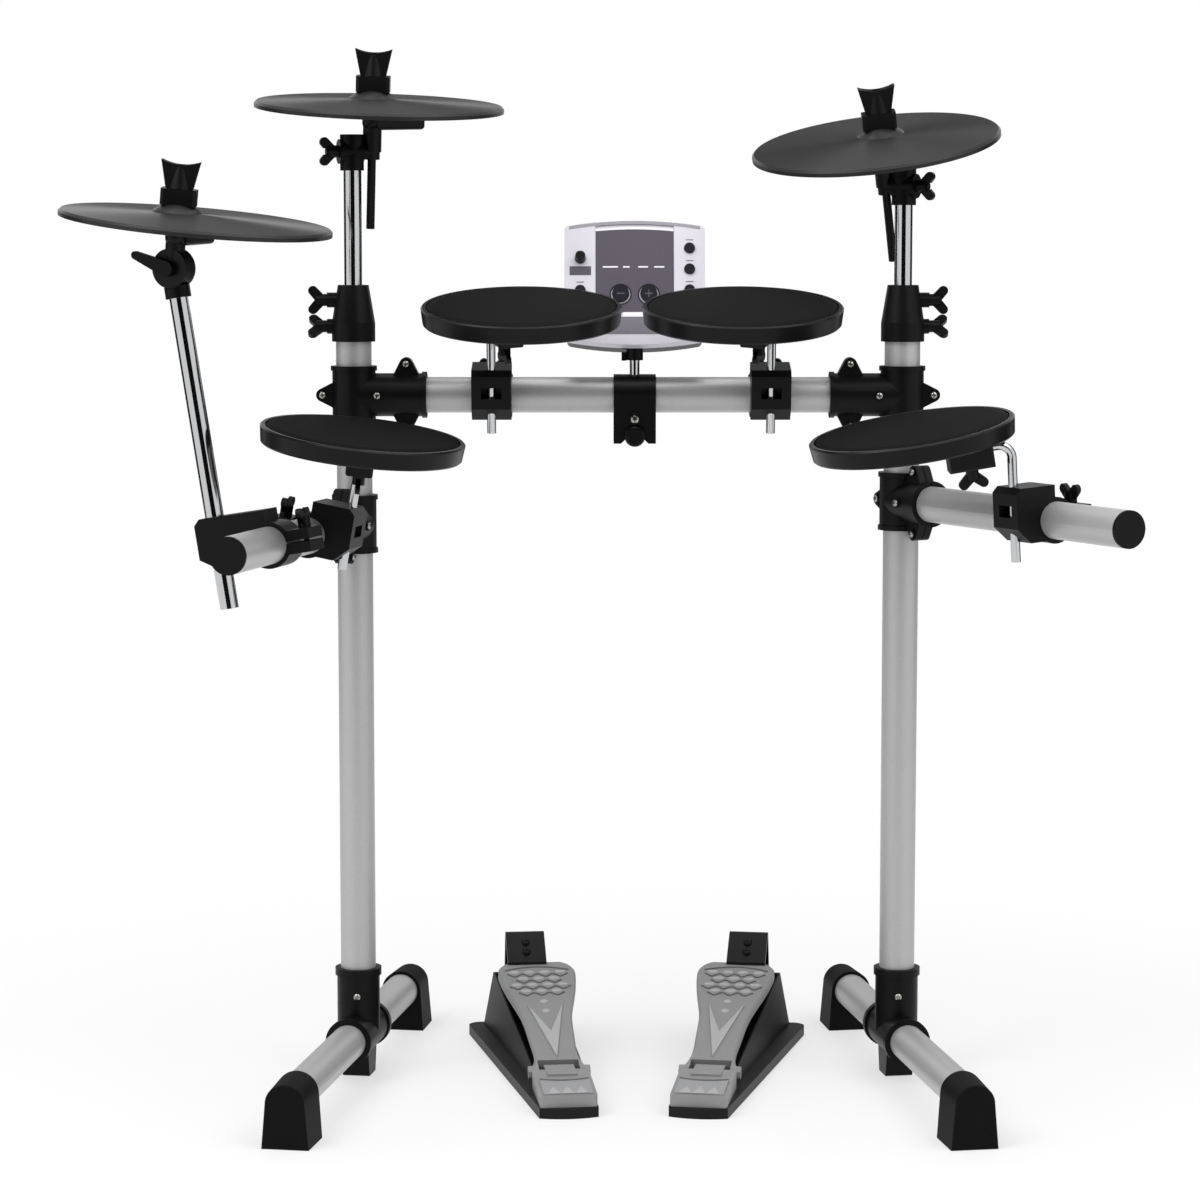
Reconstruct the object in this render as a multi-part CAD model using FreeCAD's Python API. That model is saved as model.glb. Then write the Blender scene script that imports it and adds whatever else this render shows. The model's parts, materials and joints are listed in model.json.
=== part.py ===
"""Electronic drum kit: tube rack, four drum pads, three cymbal pads, sound module and two pedals."""
import FreeCAD, Part
import math
import os

V = FreeCAD.Vector

# Frame while building: X to the right, Y away from the player, Z up, floor at zero.
# Lengths are in millimetres and angles in degrees. An azimuth turns from straight
# towards the player (zero) to the right (positive).

# Fits shared by all pieces
seat_clearance = 0.1
running_clearance = 0.08
moving_gap = 0.3
cut_overrun = 2.0
full_turn = 360.0
quarter_turn = 90.0
straight_tolerance_angle = 1.0

# Rack tubing
tube_diameter = 38.0
tube_wall = 2.0
post_spacing = 586.0
post_top_height = 828.0
cross_bar_below_post_top = 87.0
foot_axis_height = 46.0
foot_overall_length = 585.0
foot_toe_angle = 9.5
foot_forward_shift = 30.0
left_arm_below_bar = 138.0
left_arm_azimuth_angle = -15.0
left_arm_length = 380.0
right_arm_below_bar = 113.5
right_arm_azimuth_angle = 28.6
right_arm_length = 402.0
tube_end_setback = 14.0
arm_cap_thickness = 3.0
arm_cap_plug_depth = 14.0
arm_cap_plug_wall = 3.0

# Rubber feet
rubber_foot_depth = 54.0
rubber_foot_end_wall = 10.0
rubber_foot_wall = 3.5
rubber_foot_front_radius = 20.5
rubber_foot_base_width = 51.0
rubber_foot_front_base_width = 49.0
rubber_foot_edge_radius = 2.0

# Base tees, foot tube to post
socket_wall = 4.0
base_tee_rim_height = 119.0
base_tee_sleeve_length = 100.0
base_tee_bead_width = 2.0
base_tee_bead_height = 8.0
base_tee_floor_of_post = 3.0
base_tee_leg_top_length = 46.0
base_tee_leg_foot_length = 28.0
base_tee_leg_width = 30.0
base_tee_leg_floor_gap = 1.0

# Split tee clamps, post to cross bar and post to arm
tee_clamp_height = 62.0
corner_clamp_reach = 78.0
arm_clamp_reach = 58.0
clamp_rim_width = 1.6
clamp_rim_height = 5.0
clamp_split_gap = 1.0
clamp_lug_reach = 33.0
clamp_lug_setback = 22.0
clamp_lug_root_radius = 22.0
clamp_lug_tip_radius = 7.0
clamp_lug_thickness = 18.0
clamp_screw_boss_radius = 5.2
clamp_screw_boss_height = 1.5

# Wing bolts
bolt_radius = 3.0
bolt_hub_radius = 6.5
bolt_hub_height = 11.5
bolt_wing_root_radius = 5.5
bolt_wing_tip_radius = 5.0
bolt_wing_spread = 10.0
bolt_wing_rise = 9.0
bolt_wing_thickness = 5.0

# Boom holders on the post tops
holder_length_below_post_top = 30.0
holder_length_above_post_top = 30.0
holder_straight_length = 20.0
holder_top_diameter = 33.0
holder_boss_radius = 8.0
holder_boss_reach = 28.0
holder_bolt_distance = 14.0

# Rod clamps on the tubes
pad_rod_diameter = 9.5
pad_clamp_width = 42.0
pad_clamp_offset = 36.0
hihat_clamp_width = 40.0
hihat_clamp_offset = 60.0
rod_clamp_wall = 4.5
rod_clamp_eye_wall = 6.0
rod_clamp_above_tube = 36.0
rod_clamp_below_tube = 20.0
rod_clamp_chamfer = 6.0
rod_clamp_band_above = 6.0
rod_clamp_band_below = 5.0
rod_clamp_window_height = 12.0
rod_clamp_window_margin = 6.0
rod_clamp_ear_height = 24.0
rod_clamp_ear_reach = 44.0
rod_clamp_bolt_offset = 34.0
rod_clamp_slit = 2.5

# Boom stands
boom_rod_diameter = 19.0
boom_rod_wall = 2.0
boom_rod_below_post_top = 128.0
left_pivot_above_post_top = 171.0
right_pivot_above_post_top = 134.5
stem_offset = 21.4
tilter_body_radius = 13.0
tilter_length_below = 20.0
tilter_length_above = 18.0
tilter_rod_top_below = 8.0
tilter_inner_face = 11.0
tilter_outer_face = 15.0
eye_bolt_radius = 4.0
eye_bolt_end_length = 14.0
eye_radius = 8.5
eye_half_height = 8.0
left_stand_turn_angle = 17.0
left_stem_tilt_angle = 6.7
right_stand_turn_angle = -29.0
right_stem_tilt_angle = 14.8

# Cymbal stack, heights above the tilter's pivot
stem_radius = 4.5
stem_tail_length = 82.0
stem_top_height = 101.0
cymbal_rock_height = 31.0
cymbal_hub_radius = 11.0
cymbal_hub_hole_radius = 7.6
stem_cup_radius = 10.0
bell_sphere_radius = 36.0
bell_rise = 10.5
boom_cymbal_diameter = 264.0
hihat_diameter = 274.0
cymbal_rim_bottom = 46.0
cymbal_rim_height = 6.5
cymbal_rim_wrap = 6.0
cymbal_rim_bevel = 2.5
cymbal_bow_rise = 5.0
cymbal_rubber_thickness = 3.0
cymbal_base_thickness = 3.0
jack_box_length = 56.0
jack_box_width = 24.0
jack_box_drop = 28.0
jack_box_edge_radius = 4.0
jack_box_cup_room = 1.5
stopper_length = 36.0
stopper_width = 25.0
stopper_top_height = 80.0
stopper_skirt = 4.0
nut_height = 28.0
nut_base_width = 27.0
nut_top_width = 39.0
nut_notch_depth = 4.0
nut_thickness = 13.0
nut_hub_radius = 11.5
nut_hub_height = 23.0
left_cymbal_shift = 15.3
left_shift_azimuth_angle = 30.0
right_cymbal_shift = 12.2
right_shift_azimuth_angle = -30.0

# Hi-hat stand
hihat_clamp_station = 246.0
hihat_clamp_roll_angle = 9.2
hihat_rod_tail = 58.0
hihat_pivot_distance = 289.0
hihat_stem_pitch_angle = 4.5
hihat_stem_roll_angle = 5.4
hihat_cymbal_shift = 21.5
hihat_shift_azimuth_angle = 66.0
hihat_socket_radius = 13.0
hihat_socket_length = 12.0
hihat_socket_below_pivot = 18.0
hihat_disc_radius = 20.0
hihat_disc_thickness = 9.0
hihat_lever_length = 38.0
hihat_lever_lift_angle = 30.0
hihat_lever_width = 8.0
hihat_lever_thickness = 5.0
hihat_lever_standoff = 3.0

# Jack sockets of the pads and cymbals, for a plug 6.35 across
jack_bore_radius = 3.3
jack_bore_depth = 16.0
jack_ring_radius = 5.5
jack_ring_length = 2.0

# Drum pads
pad_diameter = 207.0
pad_height = 18.5
pad_taper_width = 2.0
pad_wall = 2.5
pad_rim_width = 5.0
pad_groove_width = 1.2
pad_head_thickness = 5.0
pad_head_crown = 1.5
pad_head_bevel = 9.0
pad_ledge_width = 7.0
pad_edge_radius = 1.5
pad_reach = 97.0
pad_boss_offset = 54.0
pad_boss_length = 46.0
pad_boss_width = 28.0
pad_boss_height = 32.0
pad_boss_end_wall = 5.0
pad_boss_edge_radius = 3.0
pad_leg_drop = 13.0
pad_rod_bend_radius = 13.0
pad_jack_length = 24.0
pad_jack_width = 18.0
pad_jack_height = 15.0
pad_post_radius = 20.0
pad_sensor_radius = 32.0
pad_sensor_thickness = 4.0

# Where each pad sits: place along its tube, lean of its clamp, rod height, rod tail, azimuth and drop of
# the rod's leg, and turn of the pad about that leg
tom_left_station = -145.0
tom_right_station = 151.0
tom_clamp_roll_angle = 10.4
tom_leg_height = 91.5
tom_rod_tail = 33.0
tom_leg_azimuth_angle = 20.5
tom_leg_drop_angle = 0.0
snare_station = 130.0
snare_clamp_roll_angle = 10.4
snare_leg_height = 98.0
snare_rod_tail = 30.0
snare_leg_azimuth_angle = 3.5
snare_leg_drop_angle = 2.5
snare_tilt_angle = 3.5
floor_tom_station = 260.0
floor_tom_clamp_roll_angle = 3.7
floor_tom_leg_height = 80.0
floor_tom_rod_tail = 40.0
floor_tom_leg_azimuth_angle = -88.0
floor_tom_leg_drop_angle = 6.2
floor_tom_tilt_angle = -3.8

# Sound module and its strap
module_position = 7.0
module_width = 150.0
module_height = 132.0
module_arch = 7.0
module_lean_angle = 20.0
module_front_depth = 13.0
module_back_depth = 24.0
module_back_inset = 3.0
module_wall = 2.5
module_face_above_bar = 61.0
module_face_bottom_setback = -23.0
module_strip_width = 33.0
module_strip_rise = 1.6
module_corner_radius = 5.0
module_board_thickness = 1.6
module_board_margin = 1.0
module_rod_diameter = 10.5
module_socket_radius = 9.0
module_socket_above_bar = 37.0
module_socket_depth = 16.0
module_screw_height = 4.0
module_screw_radius = 2.5
module_screw_wing_height = 9.0
module_screw_wing_width = 8.0
module_screw_wing_thickness = 5.0
strap_width = 45.0
strap_thickness = 3.0
strap_drop = 51.0
strap_screw_drop = 25.0
strap_screw_radius = 3.0
strap_screw_head_radius = 6.0
strap_screw_head_height = 3.0
strap_knob_drop = 43.0
strap_knob_radius = 11.0
strap_knob_height = 9.0
strap_foot_notch = 8.0

# Module controls: radius, and place on the face as distances from the centre line and the bottom edge
big_button_radius = 9.0
small_button_radius = 5.6
button_pressed_height = 0.7
button_travel = 1.5
button_flange = 1.4
button_flange_thickness = 1.2
button_guide_gap = 0.3
big_button_spread = 15.0
big_button_rise = 49.5
right_column_place = 58.5
right_button_rise = 53.5
right_button_pitch = 23.5
left_column_place = -58.0
left_button_rise = 53.0
knob_rise = 89.0
knob_radius = 6.2
knob_top_radius = 5.2
knob_height = 10.0
knob_shaft_radius = 3.0
knob_mark_width = 1.5

# Pedals, measured from the front edge of the heel along the pedal
pedal_front_setback = -190.0
left_pedal_front_place = -62.0
right_pedal_front_place = 72.0
left_pedal_splay_angle = 6.8
right_pedal_splay_angle = 8.9
pedal_length = 400.0
pedal_front_width = 62.0
pedal_front_bulge = 6.0
pedal_rear_outer_reach = 74.0
pedal_rear_inner_reach = 40.0
pedal_flange_thickness = 11.0
pedal_flange_corner_radius = 14.0
pedal_wall_start = 88.0
pedal_wall_end_margin = 8.0
pedal_wall = 4.0
pedal_wall_front_foot_reach = 29.0
pedal_wall_front_top_reach = 23.0
pedal_wall_outer_foot_reach = 57.0
pedal_wall_outer_top_reach = 44.0
pedal_wall_inner_foot_reach = 37.0
pedal_wall_inner_top_reach = 34.0
pedal_wall_front_room = 5.2
pedal_wall_rear_room = 17.2
heel_width = 60.0
heel_length = 84.0
heel_front_height = 23.0
heel_rear_height = 31.0
heel_edge_radius = 3.0
heel_tongue_half_width = 16.0
heel_tongue_length = 22.0
hinge_place = 98.0
hinge_height = 25.0
hinge_pin_radius = 3.0
hinge_knuckle_radius = 6.5
hinge_side_room = 6.0
spring_sleeve_wall = 1.6
spring_sleeve_length = 5.0
board_rear_room = 34.0
board_front_length = 7.0
board_thickness = 8.0
board_hinge_width = 66.0
board_waist_width = 49.0
board_toe_width = 86.0
board_end_width = 58.0
board_slope_angle = 12.4
board_notch_length = 16.0
board_edge_bevel = 2.0
board_below_hinge_share = 0.25
board_station_shares = (0.08, 0.26, 0.48, 0.68, 0.86, 0.95)
board_blend_shares = (0.0, 0.0, 0.18, 0.66, 1.0, 0.9)
bracket_width = 44.0
bracket_thickness = 2.5
bracket_rise = 48.0
bracket_top_setback = 18.0
bracket_outward_shift = 9.0
bracket_foot_height = 30.0
bracket_toe_overlap = 7.0
bumper_setback = 85.0
bumper_radius = 12.0
bumper_room = 14.0

cross_bar_height = post_top_height - cross_bar_below_post_top
left_arm_height = cross_bar_height - left_arm_below_bar
right_arm_height = cross_bar_height - right_arm_below_bar
left_pivot_height = post_top_height + left_pivot_above_post_top
right_pivot_height = post_top_height + right_pivot_above_post_top
module_face_bottom_height = cross_bar_height + module_face_above_bar
module_socket_bottom = cross_bar_height + module_socket_above_bar
tube_radius = tube_diameter / 2
socket_radius = tube_radius + seat_clearance + socket_wall
board_length = pedal_length - hinge_place - board_rear_room
pad_rod_radius = pad_rod_diameter / 2
boom_rod_radius = boom_rod_diameter / 2
pad_radius = pad_diameter / 2
module_rod_radius = module_rod_diameter / 2
up = V(0, 0, 1)
right = V(1, 0, 0)
away = V(0, 1, 0)
ground = V(0, 0, 0)


def sine(angle):
    return math.sin(math.radians(angle))


def cosine(angle):
    return math.cos(math.radians(angle))


board_drop = board_thickness / cosine(board_slope_angle)


def heading(azimuth):
    """Level unit vector for an azimuth."""
    return V(sine(azimuth), -cosine(azimuth), 0)


def unit(vector):
    return vector / vector.Length


def place(origin, z_axis, x_hint):
    """Placement with its Z along z_axis and its X as near x_hint as that allows."""
    z = unit(z_axis)
    y = unit(z.cross(x_hint))
    x = y.cross(z)
    return FreeCAD.Placement(FreeCAD.Matrix(
        x.x, y.x, z.x, origin.x,
        x.y, y.y, z.y, origin.y,
        x.z, y.z, z.z, origin.z,
        0, 0, 0, 1))


def put(shape, placement):
    """Copy of a shape carried by a placement."""
    carried = shape.copy()
    carried.Placement = placement.multiply(shape.Placement)
    return carried


def put_all(shapes, placement):
    return [put(shape, placement) for shape in shapes]


def bar(radius, start, end):
    """Round bar between two points."""
    span = end - start
    return Part.makeCylinder(radius, span.Length, start, span)


def pipe(radius, wall, start, end):
    """Round tube between two points."""
    return bar(radius, start, end).cut(bar(radius - wall, start, end))


def box(low, high):
    """Box between two opposite corners."""
    size = high - low
    return Part.makeBox(size.x, size.y, size.z, low)


def joined(shapes):
    """One solid from pieces that overlap."""
    return shapes[0].fuse(shapes[1:]).removeSplitter()


def sheet(points):
    """Face inside straight edges through the points."""
    return Part.Face(Part.makePolygon(list(points) + [points[0]]))


def turned(profile):
    """Solid turned about Z from (radius, height) corners."""
    face = sheet([V(radius, 0, height) for radius, height in profile])
    return face.revolve(ground, up, full_turn)


def slab(profile, axis, width):
    """Profile in the plane across axis, extruded to both sides of that plane by half the width."""
    face = sheet(profile)
    face.translate(axis * (-width / 2))
    return face.extrude(axis * width)


def link_plate(root_radius, tip_radius, distance, thickness):
    """Plate round two circles, the second one out along X, with its thickness about the XY plane."""
    lean = math.acos((root_radius - tip_radius) / distance)
    across, rise = math.cos(lean), math.sin(lean)
    root = V(root_radius * across, root_radius * rise, 0)
    tip = V(distance + tip_radius * across, tip_radius * rise, 0)
    low_root = V(root.x, -root.y, 0)
    low_tip = V(tip.x, -tip.y, 0)
    outline = Part.Wire([
        Part.LineSegment(root, tip).toShape(),
        Part.Arc(tip, V(distance + tip_radius, 0, 0), low_tip).toShape(),
        Part.LineSegment(low_tip, low_root).toShape(),
        Part.Arc(low_root, V(-root_radius, 0, 0), root).toShape()])
    face = Part.Face(outline)
    face.translate(up * (-thickness / 2))
    return face.extrude(up * thickness)


def rounded(shape, radius, pick):
    """Fillet the edges that pick accepts."""
    return shape.makeFillet(radius, [edge for edge in shape.Edges if pick(edge)])


def runs_along(edge, axis):
    """True for a straight edge along an axis."""
    if not isinstance(edge.Curve, Part.Line):
        return False
    return abs(edge.tangentAt(edge.FirstParameter).dot(axis)) > cosine(straight_tolerance_angle)


def wing_bolt(shank_length):
    """Bolt with its seat at the origin, its shank down and its winged head up."""
    pieces = [bar(bolt_radius, up * (-shank_length), up * bolt_hub_height),
              bar(bolt_hub_radius, ground, up * bolt_hub_height)]
    root = up * (bolt_hub_height - bolt_wing_root_radius)
    for side in (right, -right):
        reach = side * bolt_wing_spread + up * bolt_wing_rise
        wing = link_plate(bolt_wing_root_radius, bolt_wing_tip_radius, reach.Length, bolt_wing_thickness)
        pieces.append(put(wing, place(root, away, reach)))
    return joined(pieces)


def rubber_foot():
    """Arched shoe on a tube end; X runs out of the tube, the tube's axis is at Z zero."""
    def arch(station, radius, base_width):
        floor_left = V(station, -base_width / 2, -foot_axis_height)
        floor_right = V(station, base_width / 2, -foot_axis_height)
        side_left = V(station, -radius, 0)
        side_right = V(station, radius, 0)
        crown = V(station, 0, radius)
        shoulder = radius * cosine(quarter_turn / 2)
        return Part.Wire([
            Part.LineSegment(floor_left, floor_right).toShape(),
            Part.LineSegment(floor_right, side_right).toShape(),
            Part.Arc(side_right, V(station, shoulder, shoulder), crown).toShape(),
            Part.Arc(crown, V(station, -shoulder, shoulder), side_left).toShape(),
            Part.LineSegment(side_left, floor_left).toShape()])
    back = arch(0, tube_radius + rubber_foot_wall, rubber_foot_base_width)
    front = arch(rubber_foot_depth, rubber_foot_front_radius, rubber_foot_front_base_width)
    body = Part.makeLoft([back, front], True, True)
    body = rounded(body, rubber_foot_edge_radius,
                   lambda edge: edge.BoundBox.XMin > rubber_foot_depth - cut_overrun)
    socket_end = rubber_foot_depth - rubber_foot_end_wall
    return body.cut(bar(tube_radius + seat_clearance, right * -cut_overrun, right * socket_end))


def base_tee():
    """Tee with the post up its Z and the foot tube along its X; the foot axis is at the origin."""
    rim = base_tee_rim_height - foot_axis_height
    half_sleeve = base_tee_sleeve_length / 2
    bead = socket_radius + base_tee_bead_width
    sleeve_end = right * half_sleeve
    bead_start = right * (half_sleeve - base_tee_bead_height)
    pieces = [bar(socket_radius, ground, up * rim),
              bar(bead, up * (rim - base_tee_bead_height), up * rim),
              bar(socket_radius, -sleeve_end, sleeve_end),
              bar(bead, bead_start, sleeve_end),
              bar(bead, -sleeve_end, -bead_start)]
    leg_foot = up * (base_tee_leg_floor_gap - foot_axis_height)
    leg = [right * (base_tee_leg_top_length / 2), leg_foot + right * (base_tee_leg_foot_length / 2),
           leg_foot - right * (base_tee_leg_foot_length / 2), right * (-base_tee_leg_top_length / 2)]
    pieces.append(slab(leg, away, base_tee_leg_width))
    body = joined(pieces)
    bore = tube_radius + seat_clearance
    run_out = right * (half_sleeve + cut_overrun)
    body = body.cut(bar(bore, -run_out, run_out))
    post_seat = up * (tube_radius + base_tee_floor_of_post)
    return body.cut(bar(bore, post_seat, up * (rim + cut_overrun)))


def tee_clamp_halves(reach):
    """Two shells round a post on Z and a tube out along X, split across Y."""
    end = up * (tee_clamp_height / 2)
    rim = socket_radius + clamp_rim_width
    rim_start = end - up * clamp_rim_height
    mouth = right * reach
    pieces = [bar(socket_radius, -end, end),
              bar(rim, rim_start, end),
              bar(rim, -end, -rim_start),
              bar(socket_radius, ground, mouth),
              bar(rim, mouth - right * clamp_rim_height, mouth)]
    lug = link_plate(clamp_lug_root_radius, clamp_lug_tip_radius, clamp_lug_reach, clamp_lug_thickness)
    lug_root = right * (reach - clamp_lug_setback)
    tips = []
    for root, out in ((ground, -right), (lug_root, up), (lug_root, -up)):
        pieces.append(put(lug, place(root, away, out)))
        tips.append(root + out * clamp_lug_reach)
    boss_end = away * (clamp_lug_thickness / 2 + clamp_screw_boss_height)
    for tip in tips:
        pieces.append(bar(clamp_screw_boss_radius, tip - boss_end, tip + boss_end))
    middle = right * (tube_radius + tube_end_setback / 2)
    middle_end = away * (socket_radius + clamp_screw_boss_height)
    pieces.append(bar(clamp_screw_boss_radius, middle - middle_end, middle + middle_end))
    body = joined(pieces)
    bore = tube_radius + seat_clearance
    run_out = end + up * cut_overrun
    body = body.cut(bar(bore, -run_out, run_out))
    seat = right * (tube_radius + tube_end_setback)
    body = body.cut(bar(bore, seat, mouth + right * cut_overrun))
    far = reach + tee_clamp_height
    low = V(-far, clamp_split_gap / 2, -far)
    high = V(far, far, far)
    back_room = box(low, high)
    front_room = box(V(-far, -far, -far), V(far, -clamp_split_gap / 2, far))
    return [body.common(front_room), body.common(back_room)]


def boom_holder(outward):
    """Tapered cap on a post top with two bosses for wing bolts; the post top is at the origin."""
    bottom = -holder_length_below_post_top
    top = holder_length_above_post_top
    rod_bore = boom_rod_radius + running_clearance
    post_bore = tube_radius + seat_clearance
    body = turned([
        (rod_bore, 0), (rod_bore, top), (holder_top_diameter / 2, top),
        (socket_radius, bottom + holder_straight_length), (socket_radius, bottom),
        (post_bore, bottom), (post_bore, 0)])
    for height in (holder_bolt_distance, -holder_bolt_distance):
        middle = up * height
        boss = bar(holder_boss_radius, middle, middle + outward * holder_boss_reach)
        inside = bar(rod_bore, ground, up * top) if height > 0 else bar(post_bore, up * bottom, ground)
        body = body.fuse(boss.cut(inside)).removeSplitter()
        body = body.cut(bar(bolt_radius + seat_clearance, middle,
                            middle + outward * (holder_boss_reach + cut_overrun)))
    return body


def holder_bolts(outward):
    """The two wing bolts of a holder, ending at the rod and at the post."""
    bolts = []
    ends = ((holder_bolt_distance, boom_rod_radius, up), (-holder_bolt_distance, tube_radius, up + away))
    for height, stop, wing_way in ends:
        bolt = wing_bolt(holder_boss_reach - stop - moving_gap)
        bolts.append(put(bolt, place(up * height + outward * holder_boss_reach, outward, wing_way)))
    return bolts


def rod_clamp(rod_radius, offset, width):
    """Clamp with its tube along X and its rod along Z out on the -Y side."""
    front = offset + rod_radius + rod_clamp_eye_wall
    high = rod_clamp_above_tube
    low = -rod_clamp_below_tube
    cut = rod_clamp_chamfer
    head = [V(0, 0, high), V(0, cut - front, high), V(0, -front, high - cut),
            V(0, -front, -rod_clamp_band_below), V(0, rod_radius - offset, low), V(0, 0, low)]
    half_ear = rod_clamp_ear_height / 2
    ears = [V(0, 0, half_ear), V(0, rod_clamp_ear_reach, half_ear),
            V(0, rod_clamp_ear_reach, -half_ear), V(0, 0, -half_ear)]
    side = right * (width / 2)
    body = joined([bar(tube_radius + seat_clearance + rod_clamp_wall, -side, side),
                   slab(head, right, width), slab(ears, right, width)])
    run_out = side + right * cut_overrun
    body = body.cut(bar(tube_radius + seat_clearance, -run_out, run_out))
    rod_line = away * -offset
    rod_end = up * (high + cut_overrun)
    body = body.cut(bar(rod_radius + running_clearance, rod_line - rod_end, rod_line + rod_end))
    window_side = rod_radius + rod_clamp_window_margin
    window_low = rod_clamp_band_above
    body = body.cut(box(V(-window_side, -front - cut_overrun, window_low),
                        V(window_side, rod_radius + running_clearance - offset,
                          window_low + rod_clamp_window_height)))
    slit = rod_clamp_slit / 2
    body = body.cut(box(V(-run_out.x, 0, -slit), V(run_out.x, rod_clamp_ear_reach + cut_overrun, slit)))
    bolt_line = away * rod_clamp_bolt_offset
    ear_end = up * (half_ear + cut_overrun)
    return body.cut(bar(bolt_radius + seat_clearance, bolt_line - ear_end, bolt_line + ear_end))


def rod_clamp_bolt():
    """Wing bolt that closes the two ears of a rod clamp."""
    seat = away * rod_clamp_bolt_offset + up * (rod_clamp_ear_height / 2)
    return put(wing_bolt(rod_clamp_ear_height), place(seat, up, right))


def tilter_body():
    """Cap on a boom rod with the eye bolt along X; the pivot is at the origin, the stem side is +X."""
    low = up * -tilter_length_below
    body = joined([bar(tilter_body_radius, low, up * tilter_length_above),
                   bar(tilter_body_radius, right * -tilter_outer_face, right * tilter_inner_face)])
    body = body.cut(box(V(tilter_inner_face, -tilter_body_radius, -tilter_length_below),
                        V(tilter_body_radius + cut_overrun, tilter_body_radius, tilter_length_above)))
    rod_seat = up * -tilter_rod_top_below
    body = body.cut(bar(boom_rod_radius + seat_clearance, low - up * cut_overrun, rod_seat))
    far = right * (tilter_body_radius + tilter_outer_face)
    return body.cut(bar(eye_bolt_radius + running_clearance, -far, far))


def stem_spine(tail_length):
    """Stem of a cymbal on Z with the cup that its hub rocks in; the pivot is at the origin."""
    cup_top = up * cymbal_rock_height
    cup = bar(stem_cup_radius, ground, cup_top)
    cup = cup.cut(Part.makeSphere(cymbal_hub_radius + moving_gap, cup_top))
    return joined([bar(stem_radius, up * -tail_length, up * stem_top_height), cup])


def eye_bolt_stem(outward, stem_axis):
    """Stem with its eye, and the eye bolt out through the tilter; the pivot is at the origin."""
    lean = place(ground, stem_axis, outward)
    eye = bar(eye_radius, up * -eye_half_height, up * eye_half_height)
    shoulder_end = stem_offset - tilter_inner_face - moving_gap
    bolt_end = stem_offset + tilter_outer_face + eye_bolt_end_length
    return joined([put(stem_spine(stem_tail_length), lean), put(eye, lean),
                   bar(eye_radius, ground, outward * shoulder_end),
                   bar(eye_bolt_radius, ground, outward * bolt_end)])


def eye_bolt_nut(outward):
    """Wing nut at the outer end of the eye bolt."""
    seat = outward * (stem_offset + tilter_outer_face + moving_gap)
    nut = wing_bolt(cut_overrun).cut(bar(eye_bolt_radius + seat_clearance, up * -bolt_hub_height,
                                         up * (bolt_hub_height + bolt_wing_rise)))
    side = bolt_wing_spread + bolt_hub_height
    keep = box(V(-side, -side, 0), V(side, side, bolt_hub_height + bolt_wing_rise))
    return put(nut.common(keep), place(seat, outward, up))


def stopper():
    """Block on the stem that keeps a cymbal from turning; its underside follows the bell."""
    low = stopper_top_height - stopper_width / 2
    body = box(V(-stopper_length / 2, -stopper_width / 2, low - stopper_skirt),
               V(stopper_length / 2, stopper_width / 2, stopper_top_height))
    body = rounded(body, stopper_skirt, lambda edge: runs_along(edge, up))
    body = body.cut(Part.makeSphere(bell_sphere_radius + moving_gap, up * cymbal_rock_height))
    return body.cut(bar(stem_radius + seat_clearance, ground, up * (stopper_top_height + cut_overrun)))


def wing_nut():
    """Crown-shaped nut on a stem, flaring up to two ears with a hollow between them."""
    low = stopper_top_height + moving_gap
    high = low + nut_height
    half_base = nut_base_width / 2
    half_top = nut_top_width / 2
    outline = Part.Wire([
        Part.LineSegment(V(-half_base, 0, low), V(half_base, 0, low)).toShape(),
        Part.LineSegment(V(half_base, 0, low), V(half_top, 0, high)).toShape(),
        Part.Arc(V(half_top, 0, high), V(0, 0, high - nut_notch_depth), V(-half_top, 0, high)).toShape(),
        Part.LineSegment(V(-half_top, 0, high), V(-half_base, 0, low)).toShape()])
    face = Part.Face(outline)
    face.translate(away * (-nut_thickness / 2))
    body = joined([face.extrude(away * nut_thickness),
                   Part.makeCone(nut_hub_radius, nut_thickness / 2, nut_hub_height, up * low, up)])
    return body.cut(bar(stem_radius + running_clearance, ground, up * (high + cut_overrun)))


def cymbal_rubber(radius, shift):
    """Rubber top of a cymbal with its bell; the disc's centre is moved off the stem by shift."""
    rim_top = cymbal_rim_bottom + cymbal_rim_height
    crown = rim_top + cymbal_bow_rise
    inner = radius - cymbal_rim_wrap
    disc = turned([
        (0, crown), (radius - cymbal_rim_bevel, rim_top),
        (radius, rim_top - cymbal_rim_bevel), (radius, cymbal_rim_bottom),
        (inner, cymbal_rim_bottom), (inner, rim_top - cymbal_rubber_thickness),
        (0, crown - cymbal_rubber_thickness)])
    disc.translate(shift)
    bell_top = cymbal_rock_height + bell_sphere_radius
    bell = Part.makeSphere(bell_sphere_radius, up * cymbal_rock_height)
    bell = bell.common(box(V(-bell_sphere_radius, -bell_sphere_radius, bell_top - bell_rise),
                           V(bell_sphere_radius, bell_sphere_radius, bell_top)))
    body = joined([disc, bell])
    return body.cut(bar(cymbal_hub_hole_radius, ground, up * stem_top_height))


def with_jack(body, face_point):
    """Add the ring and bore of a jack socket that opens along X at a point on a box's end face."""
    mouth = face_point + right * jack_ring_length
    bore = bar(jack_bore_radius, face_point - right * jack_bore_depth, mouth + right * cut_overrun)
    return joined([body, bar(jack_ring_radius, face_point, mouth)]).cut(bore)


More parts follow.
